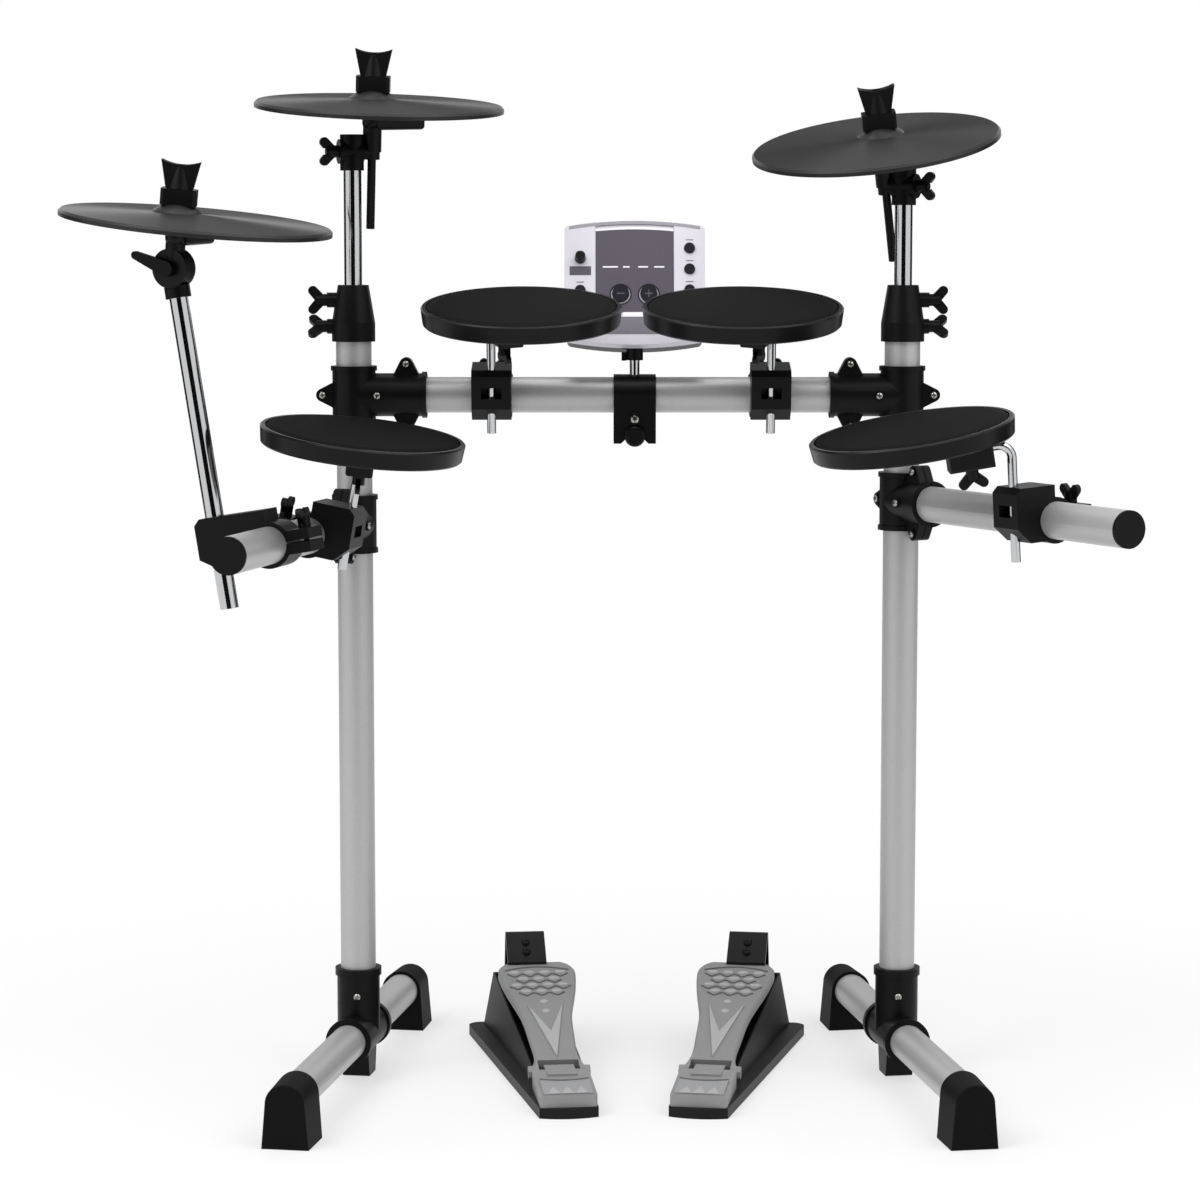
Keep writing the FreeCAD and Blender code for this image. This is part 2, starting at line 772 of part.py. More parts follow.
def cymbal_base(radius, shift):
    """Hard underside of a cymbal with its hub and jack box."""
    rim_top = cymbal_rim_bottom + cymbal_rim_height
    crown = rim_top + cymbal_bow_rise
    skin = cymbal_rubber_thickness + seat_clearance
    inner = radius - cymbal_rim_wrap - seat_clearance
    deep = skin + cymbal_base_thickness
    disc = turned([(0, crown - skin), (inner, rim_top - skin), (inner, rim_top - deep), (0, crown - deep)])
    disc.translate(shift)
    plate_height = up * (crown - deep)
    hub_end = up * cymbal_rock_height
    hub = bar(cymbal_hub_radius, hub_end, plate_height)
    hub = joined([hub, Part.makeSphere(cymbal_hub_radius, hub_end)])
    out = unit(shift)
    across = up.cross(out)
    jack = box(V(0, -jack_box_width / 2, -jack_box_drop), V(jack_box_length, jack_box_width / 2, 0))
    lowest = cut_overrun - jack_box_drop
    jack = rounded(jack, jack_box_edge_radius, lambda edge: edge.BoundBox.ZMax < lowest)
    jack = with_jack(jack, V(jack_box_length, 0, -jack_box_drop / 2))
    jack = put(jack, place(plate_height, up, across))
    cup_room = up * (cymbal_rock_height + jack_box_cup_room)
    jack = jack.cut(bar(stem_cup_radius + jack_box_cup_room, ground, cup_room))
    body = joined([disc, hub, jack])
    return body.cut(bar(cymbal_hub_hole_radius, ground, up * stem_top_height))


def hihat_tilter():
    """Rod cap with the rear ratchet disc; Z is the rod, Y the hinge, the pivot is at the origin."""
    cap_top = up * -hihat_socket_below_pivot
    cap_end = cap_top - up * hihat_socket_length
    rear = away * (moving_gap / 2)
    body = joined([bar(hihat_socket_radius, cap_end, cap_top),
                   bar(hihat_disc_radius, rear, rear + away * hihat_disc_thickness)])
    seat = cap_top - up * (boom_rod_radius / 2)
    body = body.cut(bar(boom_rod_radius + seat_clearance, cap_end - up * cut_overrun, seat))
    swing = hihat_disc_radius + moving_gap
    body = body.cut(bar(swing, away * -hihat_socket_radius, rear))
    lever_face = away * -(hihat_disc_thickness + hihat_lever_standoff)
    lever_bolt = bar(bolt_radius, rear, lever_face)
    lever = link_plate(hihat_lever_width, hihat_lever_width / 2, hihat_lever_length, hihat_lever_thickness)
    lever_middle = lever_face - away * (hihat_lever_thickness / 2)
    lever_way = up * sine(hihat_lever_lift_angle) - right * cosine(hihat_lever_lift_angle)
    lever = put(lever, place(lever_middle, away, lever_way))
    return joined([body, lever_bolt, lever])


def hihat_stem():
    """Front ratchet disc with the stem; Z is the stem, Y the hinge, the pivot is at the origin."""
    front = away * (-moving_gap / 2)
    disc = bar(hihat_disc_radius, front - away * hihat_disc_thickness, front)
    swing = hihat_disc_radius + moving_gap
    spine = stem_spine(0)
    spine = spine.cut(bar(swing, front, away * swing))
    body = joined([spine, disc])
    return body.cut(bar(bolt_radius + running_clearance, away * -swing, away * swing))


def pad_rod(leg_height, tail, drop):
    """L-rod: Z up through its clamp, then out along X, sloping down by drop, into the pad's boss."""
    bend = pad_rod_bend_radius
    leg_way = V(cosine(drop), 0, -sine(drop))
    corner = up * leg_height
    tangent = bend * math.tan(math.radians(quarter_turn + drop) / 2)
    low = up * -tail
    bend_start = corner - up * tangent
    bend_end = corner + leg_way * tangent
    bend_centre = bend_start + right * bend
    arc_middle = bend_centre + unit(corner - bend_centre) * bend
    tip = corner + leg_way * (pad_reach - pad_boss_offset + pad_boss_length / 2 - pad_boss_end_wall)
    path = Part.Wire([
        Part.LineSegment(low, bend_start).toShape(),
        Part.Arc(bend_start, arc_middle, bend_end).toShape(),
        Part.LineSegment(bend_end, tip).toShape()])
    section = Part.Wire([Part.Circle(low, up, pad_rod_radius).toShape()])
    return path.makePipeShell([section], True, False)


def pad_jack_face():
    """Middle of the end face of a pad's jack box."""
    jack_start = pad_reach - pad_boss_offset + pad_boss_length / 2
    return V(jack_start + pad_jack_length, 0, pad_leg_drop - pad_jack_height / 2)


def pad_shell():
    """Dish of a drum pad with its boss; the rod's leg runs along X, the dish's middle is at pad_reach."""
    middle = right * pad_reach
    floor_height = pad_leg_drop
    rim_height = floor_height + pad_height
    head_seat = rim_height - pad_head_thickness
    head_room = pad_radius - pad_rim_width
    dish_floor = floor_height + pad_wall
    dish_room = pad_radius - pad_taper_width - pad_wall
    ledge = head_room - pad_ledge_width
    dish = turned([
        (0, floor_height), (pad_radius - pad_taper_width - pad_edge_radius, floor_height),
        (pad_radius - pad_taper_width, floor_height + pad_edge_radius),
        (pad_radius, rim_height - pad_edge_radius), (pad_radius - pad_edge_radius, rim_height),
        (head_room, rim_height), (head_room, head_seat), (ledge, head_seat),
        (ledge, head_seat - pad_wall), (dish_room - pad_edge_radius, head_seat - pad_wall),
        (dish_room - pad_edge_radius, dish_floor), (0, dish_floor)])
    post_top = head_seat - pad_sensor_thickness - moving_gap
    pieces = [dish, bar(pad_post_radius, up * floor_height, up * post_top)]
    shell = joined(pieces)
    shell.translate(middle)
    boss_middle = pad_reach - pad_boss_offset
    half_length = pad_boss_length / 2
    half_width = pad_boss_width / 2
    boss = box(V(boss_middle - half_length, -half_width, floor_height - pad_boss_height),
               V(boss_middle + half_length, half_width, dish_floor))
    boss = rounded(boss, pad_boss_edge_radius, lambda edge: runs_along(edge, right) or runs_along(edge, up))
    jack_start = pad_jack_face().x - pad_jack_length
    jack = box(V(jack_start, -pad_jack_width / 2, floor_height - pad_jack_height),
               V(jack_start + pad_jack_length, pad_jack_width / 2, dish_floor))
    jack = with_jack(jack, pad_jack_face())
    body = joined([shell, boss, jack])
    leg_end = right * (boss_middle + half_length - pad_boss_end_wall + moving_gap)
    body = body.cut(bar(pad_rod_radius + running_clearance, ground, leg_end))
    bolt_line = right * boss_middle
    return body.cut(bar(bolt_radius + seat_clearance, bolt_line, bolt_line - up * pad_boss_height))


def pad_bolt():
    """Wing bolt from under the boss up to the rod's leg."""
    boss_bottom = pad_leg_drop - pad_boss_height
    seat = V(pad_reach - pad_boss_offset, 0, boss_bottom)
    shank = -boss_bottom - pad_rod_radius - moving_gap
    return put(wing_bolt(shank), place(seat, -up, right))


def pad_sensor():
    """Trigger plate under the head of a pad."""
    head_seat = pad_leg_drop + pad_height - pad_head_thickness
    low = V(pad_reach, 0, head_seat - pad_sensor_thickness - moving_gap)
    return bar(pad_sensor_radius, low, low + up * pad_sensor_thickness)


def pad_head():
    """Rubber head of a pad, raised a little inside a sloping edge."""
    rim_height = pad_leg_drop + pad_height
    seat = rim_height - pad_head_thickness
    radius = pad_radius - pad_rim_width - pad_groove_width
    top = rim_height + pad_head_crown
    head = turned([(0, seat), (radius, seat), (radius, rim_height),
                   (radius - pad_head_bevel, top), (0, top)])
    head.translate(right * pad_reach)
    return head


def module_outline(inset):
    """Arched front outline of the module in the XZ plane, drawn in by inset."""
    half_width = module_width / 2 - inset
    low = inset
    high = module_height - module_arch - inset
    low_left, low_right = V(-half_width, 0, low), V(half_width, 0, low)
    high_left, high_right = V(-half_width, 0, high), V(half_width, 0, high)
    return Part.Face(Part.Wire([
        Part.Arc(low_left, V(0, 0, low - module_arch), low_right).toShape(),
        Part.LineSegment(low_right, high_right).toShape(),
        Part.Arc(high_right, V(0, 0, high + module_arch), high_left).toShape(),
        Part.LineSegment(high_left, low_left).toShape()]))


def control_places():
    """Names, radii and places of the push buttons on the module's face."""
    places = [("button_minus", big_button_radius, -big_button_spread, big_button_rise),
              ("button_plus", big_button_radius, big_button_spread, big_button_rise),
              ("button_left", small_button_radius, left_column_place, left_button_rise)]
    for number in range(3):
        rise = right_button_rise + right_button_pitch * number
        places.append(("button_right_" + str(number + 1), small_button_radius, right_column_place, rise))
    return places


def module_front():
    """Front housing; X right, Z up the face, Y into the module, the face at Y zero."""
    shell = module_outline(0).extrude(away * module_front_depth)
    shell = rounded(shell, module_corner_radius, lambda edge: runs_along(edge, away))
    strip_inner = module_width / 2 - module_strip_width
    for side in (-1, 1):
        strip = module_outline(0).extrude(away * (module_strip_rise + module_wall))
        strip = rounded(strip, module_corner_radius, lambda edge: runs_along(edge, away))
        strip.translate(away * -module_strip_rise)
        edges = sorted((side * strip_inner, side * module_width))
        keep = box(V(edges[0], -module_strip_rise, -module_arch),
                   V(edges[1], module_wall, module_height + module_arch))
        shell = shell.fuse(strip.common(keep)).removeSplitter()
    hollow = module_outline(module_wall).extrude(away * module_front_depth)
    hollow.translate(away * module_wall)
    shell = shell.cut(hollow)
    through = away * (module_wall + cut_overrun)
    for name, radius, x, z in control_places():
        middle = V(x, 0, z)
        hole = radius + button_guide_gap
        shell = shell.cut(bar(hole, middle - through, middle + through))
    knob = V(left_column_place, 0, knob_rise)
    return shell.cut(bar(knob_shaft_radius + running_clearance, knob - through, knob + through))


def module_back():
    """Back housing behind the front one, open to it."""
    body = module_outline(module_back_inset).extrude(away * module_back_depth)
    body = rounded(body, module_corner_radius, lambda edge: runs_along(edge, away))
    room = module_outline(module_back_inset + module_wall).extrude(away * (module_back_depth - module_wall))
    body = body.cut(room)
    body.translate(away * module_front_depth)
    return body


def module_board():
    """Circuit board on the step between the two housings."""
    margin = module_wall + module_board_margin
    board = module_outline(margin).extrude(away * module_board_thickness)
    board.translate(away * (module_front_depth - module_board_thickness))
    return board


def button(radius):
    """Push button pointing out along -Y with a flange behind the face."""
    flange = away * (module_wall + moving_gap)
    flange_end = flange + away * button_flange_thickness
    proud = button_travel + button_pressed_height + module_strip_rise
    return joined([bar(radius, away * -proud, flange_end),
                   bar(radius + button_flange, flange, flange_end)])


def volume_knob():
    """Turning knob with its shaft through the face to the board."""
    face = -(module_strip_rise + moving_gap)
    cap = Part.makeCone(knob_radius, knob_top_radius, knob_height, away * face, -away)
    mark_low = V(-knob_mark_width / 2, face - knob_height, 0)
    mark_high = V(knob_mark_width / 2, face - knob_height + knob_mark_width, knob_radius)
    cap = cap.cut(box(mark_low, mark_high))
    shaft_end = module_front_depth - module_board_thickness - moving_gap
    return joined([cap, bar(knob_shaft_radius, away * face, away * shaft_end)])


def module_strap():
    """Sheet strap over the cross bar, closed by a screw and a knob below it; the bar is along X."""
    inner = tube_radius + seat_clearance
    outer = inner + strap_thickness
    side = right * (strap_width / 2)
    ring = bar(outer, -side, side)
    legs = box(V(-side.x, -outer, -strap_drop), V(side.x, outer, 0))
    body = joined([ring, legs]).cut(bar(inner, -side - right * cut_overrun, side + right * cut_overrun))
    run_out = side.x + cut_overrun
    body = body.cut(box(V(-run_out, -inner, -strap_drop - cut_overrun), V(run_out, inner, 0)))
    notch = strap_foot_notch
    gap_edge = side.x - notch
    foot = -strap_drop
    notch_cut = [V(-gap_edge, 0, foot), V(-gap_edge + notch, 0, foot + notch),
                 V(gap_edge - notch, 0, foot + notch), V(gap_edge, 0, foot)]
    reach = away * (outer + cut_overrun)
    body = body.cut(slab(notch_cut, away, tube_diameter + strap_width))
    for drop in (strap_screw_drop, strap_knob_drop):
        middle = up * -drop
        body = body.cut(bar(strap_screw_radius + seat_clearance, middle - reach, middle + reach))
    return body.cut(bar(module_rod_radius + seat_clearance, ground, up * (outer + cut_overrun)))


def strap_screw():
    """Round-headed screw through the two plates of the strap."""
    face = tube_radius + seat_clearance + strap_thickness
    middle = up * -strap_screw_drop
    head = middle - away * face
    return joined([bar(strap_screw_radius, head, middle + away * face),
                   bar(strap_screw_head_radius, head - away * strap_screw_head_height, head)])


def strap_knob():
    """Round knob on the strap's clamp bolt."""
    face = tube_radius + seat_clearance + strap_thickness
    middle = up * -strap_knob_drop
    front = middle - away * face
    knob = bar(strap_knob_radius, front - away * strap_knob_height, front)
    knob = rounded(knob, strap_screw_radius, lambda edge: edge.BoundBox.YMax < -face - strap_screw_radius)
    return joined([knob, bar(strap_screw_radius, front, middle + away * face)])


def board_top_height(station):
    """Height of the sloped board's top face at a station along the pedal."""
    run = station - hinge_place
    top = board_thickness - board_thickness * board_below_hinge_share
    return hinge_height + run * math.tan(math.radians(board_slope_angle)) + top / cosine(board_slope_angle)


def pedal_wall_rear_height():
    """Height of the base's walls at their rear end, below the board."""
    end = pedal_length - pedal_wall_end_margin
    return board_top_height(end) - board_drop - pedal_wall_rear_room


def pedal_base(outer):
    """Flat flange with tapering side walls; Y runs along the pedal, outer is the sign of its wide side."""
    half_front = pedal_front_width / 2
    front_out, front_in = V(outer * half_front, 0, 0), V(-outer * half_front, 0, 0)
    rear_out = V(outer * pedal_rear_outer_reach, pedal_length, 0)
    rear_in = V(-outer * pedal_rear_inner_reach, pedal_length, 0)
    outline = Part.Wire([
        Part.Arc(front_out, V(0, -pedal_front_bulge, 0), front_in).toShape(),
        Part.LineSegment(front_in, rear_in).toShape(),
        Part.LineSegment(rear_in, rear_out).toShape(),
        Part.LineSegment(rear_out, front_out).toShape()])
    flange = Part.Face(outline).extrude(up * pedal_flange_thickness)
    flange = rounded(flange, pedal_flange_corner_radius,
                     lambda edge: runs_along(edge, up) and edge.BoundBox.YMin > pedal_length / 2)

    def section(station, feet, tops, low, high):
        points = [V(outer * feet[0], station, low), V(-outer * feet[1], station, low),
                  V(-outer * tops[1], station, high), V(outer * tops[0], station, high)]
        return Part.makePolygon(points + [points[0]])
    start = pedal_wall_start
    end = pedal_length - pedal_wall_end_margin
    front_height = board_top_height(start) - board_drop - pedal_wall_front_room
    rear_feet = (pedal_wall_outer_foot_reach, pedal_wall_inner_foot_reach)
    rear_tops = (pedal_wall_outer_top_reach, pedal_wall_inner_top_reach)
    front_feet = (pedal_wall_front_foot_reach, pedal_wall_front_foot_reach)
    front_tops = (pedal_wall_front_top_reach, pedal_wall_front_top_reach)
    rear_height = pedal_wall_rear_height()
    outer_wall = Part.makeLoft([section(start, front_feet, front_tops, 0, front_height),
                                section(end, rear_feet, rear_tops, 0, rear_height)], True, True)

    def inside(reaches):
        return [reach - pedal_wall for reach in reaches]
    rise = pedal_flange_thickness
    front, rear = start + pedal_wall, end - pedal_wall
    room_front = section(front, inside(front_feet), inside(front_tops), rise, front_height + rise)
    room_rear = section(rear, inside(rear_feet), inside(rear_tops), rise, rear_height + rise)
    room = Part.makeLoft([room_front, room_rear], True, True)
    tongue_side = heel_tongue_half_width + moving_gap
    tongue_end = hinge_place + hinge_knuckle_radius + moving_gap
    tongue_room = box(V(-tongue_side, start - cut_overrun, pedal_flange_thickness),
                      V(tongue_side, tongue_end, rear_height))
    return joined([flange, outer_wall]).cut(room).cut(tongue_room)


def pedal_bumper():
    """Rubber sensor bumper on the floor of the pedal's base."""
    station = pedal_length - bumper_setback
    low = V(0, station, pedal_flange_thickness)
    height = board_top_height(station) - board_drop - bumper_room - pedal_flange_thickness
    return Part.makeCone(bumper_radius, bumper_radius / 2, height, low, up)


def pedal_heel():
    """Heel block on the front of the base, with the tongue that carries the hinge pin."""
    low = pedal_flange_thickness
    profile = [V(0, 0, low), V(0, 0, heel_front_height), V(0, heel_length, heel_rear_height),
               V(0, heel_length, low)]
    block = slab(profile, right, heel_width)
    front_edge = heel_edge_radius + cut_overrun
    block = rounded(block, heel_edge_radius,
                    lambda edge: runs_along(edge, up) and edge.BoundBox.YMax < front_edge)
    tongue_end = hinge_place + hinge_knuckle_radius
    tongue = box(V(-heel_tongue_half_width, heel_length - heel_tongue_length, low),
                 V(heel_tongue_half_width, tongue_end, heel_rear_height))
    rest_side = heel_tongue_half_width + hinge_side_room
    body = joined([block, tongue])
    hinge = V(0, hinge_place, hinge_height)
    swing = hinge_knuckle_radius + moving_gap
    for side in (-1, 1):
        edges = sorted((side * heel_tongue_half_width, side * (heel_width + rest_side)))
        body = body.cut(bar(swing + moving_gap, hinge + right * edges[0], hinge + right * edges[1]))
    ends = right * heel_width
    return body.cut(bar(hinge_pin_radius + seat_clearance, hinge - ends, hinge + ends))


def hinge_pin():
    """Steel pin of a footboard's hinge."""
    hinge = V(0, hinge_place, hinge_height)
    ends = right * (board_hinge_width / 2)
    return bar(hinge_pin_radius, hinge - ends, hinge + ends)


def hinge_springs():
    """Two torsion springs on the hinge pin, one at each side of the tongue."""
    springs = []
    for side in (-1, 1):
        start = V(side * (heel_tongue_half_width + moving_gap), hinge_place, hinge_height)
        inner = hinge_pin_radius + seat_clearance
        springs.append(pipe(inner + spring_sleeve_wall, spring_sleeve_wall, start,
                            start + right * (side * spring_sleeve_length)))
    return springs


def footboard():
    """Footboard with its toe up; the hinge is at the origin, Y along the board before it is sloped."""
    hinge_half = board_hinge_width / 2
    waist_half = board_waist_width / 2
    toe_half = board_toe_width / 2
    end_half = board_end_width / 2
    side_points = [V(hinge_half, -board_front_length, 0)]
    for share, blend in zip(board_station_shares, board_blend_shares):
        side_points.append(V(waist_half + (toe_half - waist_half) * blend, board_length * share, 0))
    side_points.append(V(end_half, board_length, 0))
    left_points = [V(-point.x, point.y, 0) for point in side_points]
    curves = []
    for points in (side_points, left_points[::-1]):
        curve = Part.BSplineCurve()
        curve.interpolate(points)
        curves.append(curve.toShape())
    outline = Part.Wire([
        Part.LineSegment(left_points[0], side_points[0]).toShape(), curves[0],
        Part.LineSegment(side_points[-1], left_points[-1]).toShape(), curves[1]])
    plate = Part.Face(outline).extrude(up * board_thickness)
    plate = plate.makeChamfer(board_edge_bevel, [edge for edge in plate.Edges
                                                 if edge.BoundBox.ZMin > board_thickness / 2])
    plate.translate(up * (-board_thickness * board_below_hinge_share))
    knuckle_inner = heel_tongue_half_width + hinge_side_room
    pieces = [plate]
    for side in (-1, 1):
        inner_end = right * (side * knuckle_inner)
        pieces.append(bar(hinge_knuckle_radius, inner_end, right * (side * hinge_half)))
    body = joined(pieces)
    body = body.cut(box(V(-knuckle_inner, -board_front_length - hinge_knuckle_radius, -board_thickness),
                        V(knuckle_inner, board_notch_length, board_thickness * 2)))
    ends = right * board_hinge_width
    body = body.cut(bar(hinge_pin_radius + running_clearance, -ends, ends))
    slope = FreeCAD.Placement(V(0, hinge_place, hinge_height), FreeCAD.Rotation(right, board_slope_angle))
    return put(body, slope)


def pedal_bracket(outer):
    """Bent steel bracket from the base's rear wall over the board's toe, set towards the wide side."""
    rear = pedal_length - pedal_wall_end_margin + moving_gap
    toe = hinge_place + board_length * cosine(board_slope_angle) - bracket_toe_overlap
    toe_height = board_top_height(toe) + moving_gap
    thick = bracket_thickness
    wall_top = pedal_wall_rear_height()
    top = wall_top + bracket_rise
    top_place = pedal_length - bracket_top_setback
    profile = [V(0, rear, bracket_foot_height), V(0, rear + thick, bracket_foot_height),
               V(0, rear + thick, wall_top), V(0, top_place + thick, top), V(0, top_place - thick, top),
               V(0, toe - thick, toe_height + thick), V(0, toe - thick, toe_height), V(0, toe, toe_height),
               V(0, top_place, top - thick), V(0, rear, wall_top)]
    plate = slab(profile, right, bracket_width)
    plate.translate(right * (outer * bracket_outward_shift))
    return plate


# Places on the rack
left_post = right * (-post_spacing / 2)
right_post = right * (post_spacing / 2)
bar_line = up * cross_bar_height
left_arm_way = heading(left_arm_azimuth_angle)
right_arm_way = heading(right_arm_azimuth_angle)
left_arm_root = left_post + up * left_arm_height
right_arm_root = right_post + up * right_arm_height
post_bottom_height = foot_axis_height + tube_radius + base_tee_floor_of_post
tube_start = tube_radius + tube_end_setback

nodes = {}


def build_rack():
    """Posts, bar, feet, arms and the clamps that hold them together."""
    nodes["posts"] = []
    nodes["foot_tubes"] = []
    nodes["rubber_feet"] = []
    nodes["base_tees"] = []
    nodes["corner_clamps"] = []
    nodes["arm_tubes"] = []
    nodes["arm_end_caps"] = []
    nodes["arm_clamps"] = []
    nodes["boom_holders"] = []
    nodes["wing_bolts"] = []
    corner = tee_clamp_halves(corner_clamp_reach)
    half_foot_tube = foot_overall_length / 2 - rubber_foot_end_wall
    foot = rubber_foot()
    tee = base_tee()
    for post, inward, toe in ((left_post, right, -foot_toe_angle), (right_post, -right, foot_toe_angle)):
        post_bottom = post + up * post_bottom_height
        post_top = post + up * post_top_height
        nodes["posts"].append(pipe(tube_radius, tube_wall, post_bottom, post_top))
        toe_way = heading(toe)
        middle = post + up * foot_axis_height
        front = middle + toe_way * (half_foot_tube + foot_forward_shift)
        rear = middle - toe_way * (half_foot_tube - foot_forward_shift)
        nodes["foot_tubes"].append(pipe(tube_radius, tube_wall, front, rear))
        socket_depth = rubber_foot_depth - rubber_foot_end_wall
        nodes["rubber_feet"].append(put(foot, place(front - toe_way * socket_depth, up, toe_way)))
        nodes["rubber_feet"].append(put(foot, place(rear + toe_way * socket_depth, up, -toe_way)))
        nodes["base_tees"].append(put(tee, place(middle, up, toe_way)))
        nodes["corner_clamps"] += put_all(corner, place(post + bar_line, up, inward))
        outward = -inward
        top = FreeCAD.Placement(post_top, FreeCAD.Rotation())
        nodes["boom_holders"].append(put(boom_holder(outward), top))
        nodes["wing_bolts"] += put_all(holder_bolts(outward), top)
    inset = right * tube_start
    bar_start = left_post + bar_line + inset
    bar_end = right_post + bar_line - inset
    nodes["cross_bar"] = [pipe(tube_radius, tube_wall, bar_start, bar_end)]
    arm_clamp = tee_clamp_halves(arm_clamp_reach)
    arms = ((left_arm_root, left_arm_way, left_arm_length),
            (right_arm_root, right_arm_way, right_arm_length))
    for root, way, length in arms:
        end = root + way * (length - arm_cap_thickness)
        nodes["arm_tubes"].append(pipe(tube_radius, tube_wall, root + way * tube_start, end))
        nodes["arm_clamps"] += put_all(arm_clamp, place(root, up, way))
        plug_radius = tube_radius - tube_wall - seat_clearance
        plug = pipe(plug_radius, arm_cap_plug_wall, end - way * arm_cap_plug_depth, end)
        nodes["arm_end_caps"].append(joined([plug, bar(tube_radius, end, root + way * length)]))


def rod_frame(rail_point, side, roll, offset):
    """Where a rod clamp leans its rod: the clamp's placement, the rod's foot point and its direction."""
    rod_way = up * cosine(roll) + side * sine(roll)
    out = side * cosine(roll) - up * sine(roll)
    clamp = place(rail_point, rod_way, (-out).cross(rod_way))
    return clamp, rail_point + out * offset, rod_way


def build_rod_clamp(rail_point, side, roll, offset, rod_radius, width):
    """Add one rod clamp with its wing bolt, and give its rod's foot point and direction."""
    clamp, foot, rod_way = rod_frame(rail_point, side, roll, offset)
    nodes["tube_clamps"].append(put(rod_clamp(rod_radius, offset, width), clamp))
    nodes["wing_bolts"].append(put(rod_clamp_bolt(), clamp))
    return foot, rod_way


left_arm_inner = V(-left_arm_way.y, left_arm_way.x, 0)
right_arm_inner = V(right_arm_way.y, -right_arm_way.x, 0)
pad_seats = (
    ("tom_left", bar_line + right * tom_left_station, -away, tom_clamp_roll_angle,
     tom_leg_height, tom_rod_tail, tom_leg_azimuth_angle, tom_leg_drop_angle, 0),
    ("tom_right", bar_line + right * tom_right_station, -away, tom_clamp_roll_angle,
     tom_leg_height, tom_rod_tail, -tom_leg_azimuth_angle, tom_leg_drop_angle, 0),
    ("snare", left_arm_root + left_arm_way * snare_station, left_arm_inner, snare_clamp_roll_angle,
     snare_leg_height, snare_rod_tail, snare_leg_azimuth_angle, snare_leg_drop_angle, snare_tilt_angle),
    ("floor_tom", right_arm_root + right_arm_way * floor_tom_station, right_arm_inner,
     floor_tom_clamp_roll_angle, floor_tom_leg_height, floor_tom_rod_tail,
     floor_tom_leg_azimuth_angle, floor_tom_leg_drop_angle, floor_tom_tilt_angle))
jack_lines = {}
swivel_lines = {}
tilt_lines = {}


def build_pads():
    """The four drum pads on their L-rods."""
    nodes["tube_clamps"] = []
    shell = pad_shell()
    head = pad_head()
    extras = [pad_sensor(), pad_bolt()]
    for name, rail, side, roll, leg_height, tail, azimuth, drop, tilt in pad_seats:
        foot, rod_way = build_rod_clamp(rail, side, roll, pad_clamp_offset, pad_rod_radius, pad_clamp_width)
        seat = place(foot, rod_way, heading(azimuth))
        leg_way = seat.Rotation.multVec(V(cosine(drop), 0, -sine(drop)))
        nodes[name + "_rod"] = [put(pad_rod(leg_height, tail, drop), seat)]
        leg_root = foot + rod_way * leg_height
        square = seat.Rotation.multVec(V(sine(drop), 0, cosine(drop)))
        normal = FreeCAD.Rotation(leg_way, tilt).multVec(square)
        pad = place(leg_root, normal, leg_way)
        nodes[name + "_shell"] = put_all([shell] + extras, pad)
        nodes[name + "_head"] = [put(head, pad)]
        jack_lines[name] = (pad.multVec(pad_jack_face() + right * jack_ring_length), leg_way)
        swivel_lines[name] = (foot, rod_way)
        tilt_lines[name] = (leg_root, leg_way)


stem_lines = {}


def build_cymbal(name, diameter, pivot, stem_axis, shift, shift_azimuth, stem_node):
    """Cymbal, stopper and wing nut on a stem; the cymbal's middle is shifted from the stem."""
    stand = place(pivot, stem_axis, right)
    off_middle = heading(shift_azimuth) * shift
    nodes[name + "_pad"] = [put(cymbal_rubber(diameter / 2, off_middle), stand)]
    nodes[name + "_base"] = [put(cymbal_base(diameter / 2, off_middle), stand)]
    nodes[name + "_nut"] = [put(wing_nut(), stand)]
    nodes[stem_node].append(put(stopper(), stand))
    stem_lines[name] = (pivot, unit(stem_axis))


def leaning(pitch, roll):
    """Unit vector up, leaned towards the player by pitch and to the right by roll."""
    return unit(V(sine(roll), -sine(pitch), cosine(pitch) * cosine(roll)))


def build_boom_stands():
    """Rods in the post tops with their tilters, stems and cymbals."""
    stands = (
        ("left", "crash", left_post, right, left_pivot_height, left_stand_turn_angle, left_stem_tilt_angle,
         left_cymbal_shift, left_shift_azimuth_angle),
        ("right", "ride", right_post, -right, right_pivot_height, right_stand_turn_angle,
         right_stem_tilt_angle, right_cymbal_shift, right_shift_azimuth_angle))
    for side, cymbal, post, inward, height, turn, tilt, shift, shift_azimuth in stands:
        post_top = post + up * post_top_height
        rod_top = height - tilter_rod_top_below
        rod_foot = post_top - up * boom_rod_below_post_top
        nodes[side + "_boom_rod"] = [pipe(boom_rod_radius, boom_rod_wall, rod_foot, post + up * rod_top)]
        stem_side = FreeCAD.Rotation(up, turn).multVec(inward)
        nodes[side + "_tilter"] = [put(tilter_body(), place(post + up * height, up, stem_side))]
        pivot = post + up * height + stem_side * stem_offset
        stem_axis = up * cosine(tilt) + heading(turn) * sine(tilt)
        at_pivot = FreeCAD.Placement(pivot, FreeCAD.Rotation())
        stem = eye_bolt_stem(-stem_side, stem_axis)
        nodes[side + "_stem"] = put_all([stem, eye_bolt_nut(-stem_side)], at_pivot)
        build_cymbal(cymbal, boom_cymbal_diameter, pivot, stem_axis, shift, shift_azimuth, side + "_stem")
        tilt_lines[cymbal] = (pivot, heading(turn + quarter_turn))


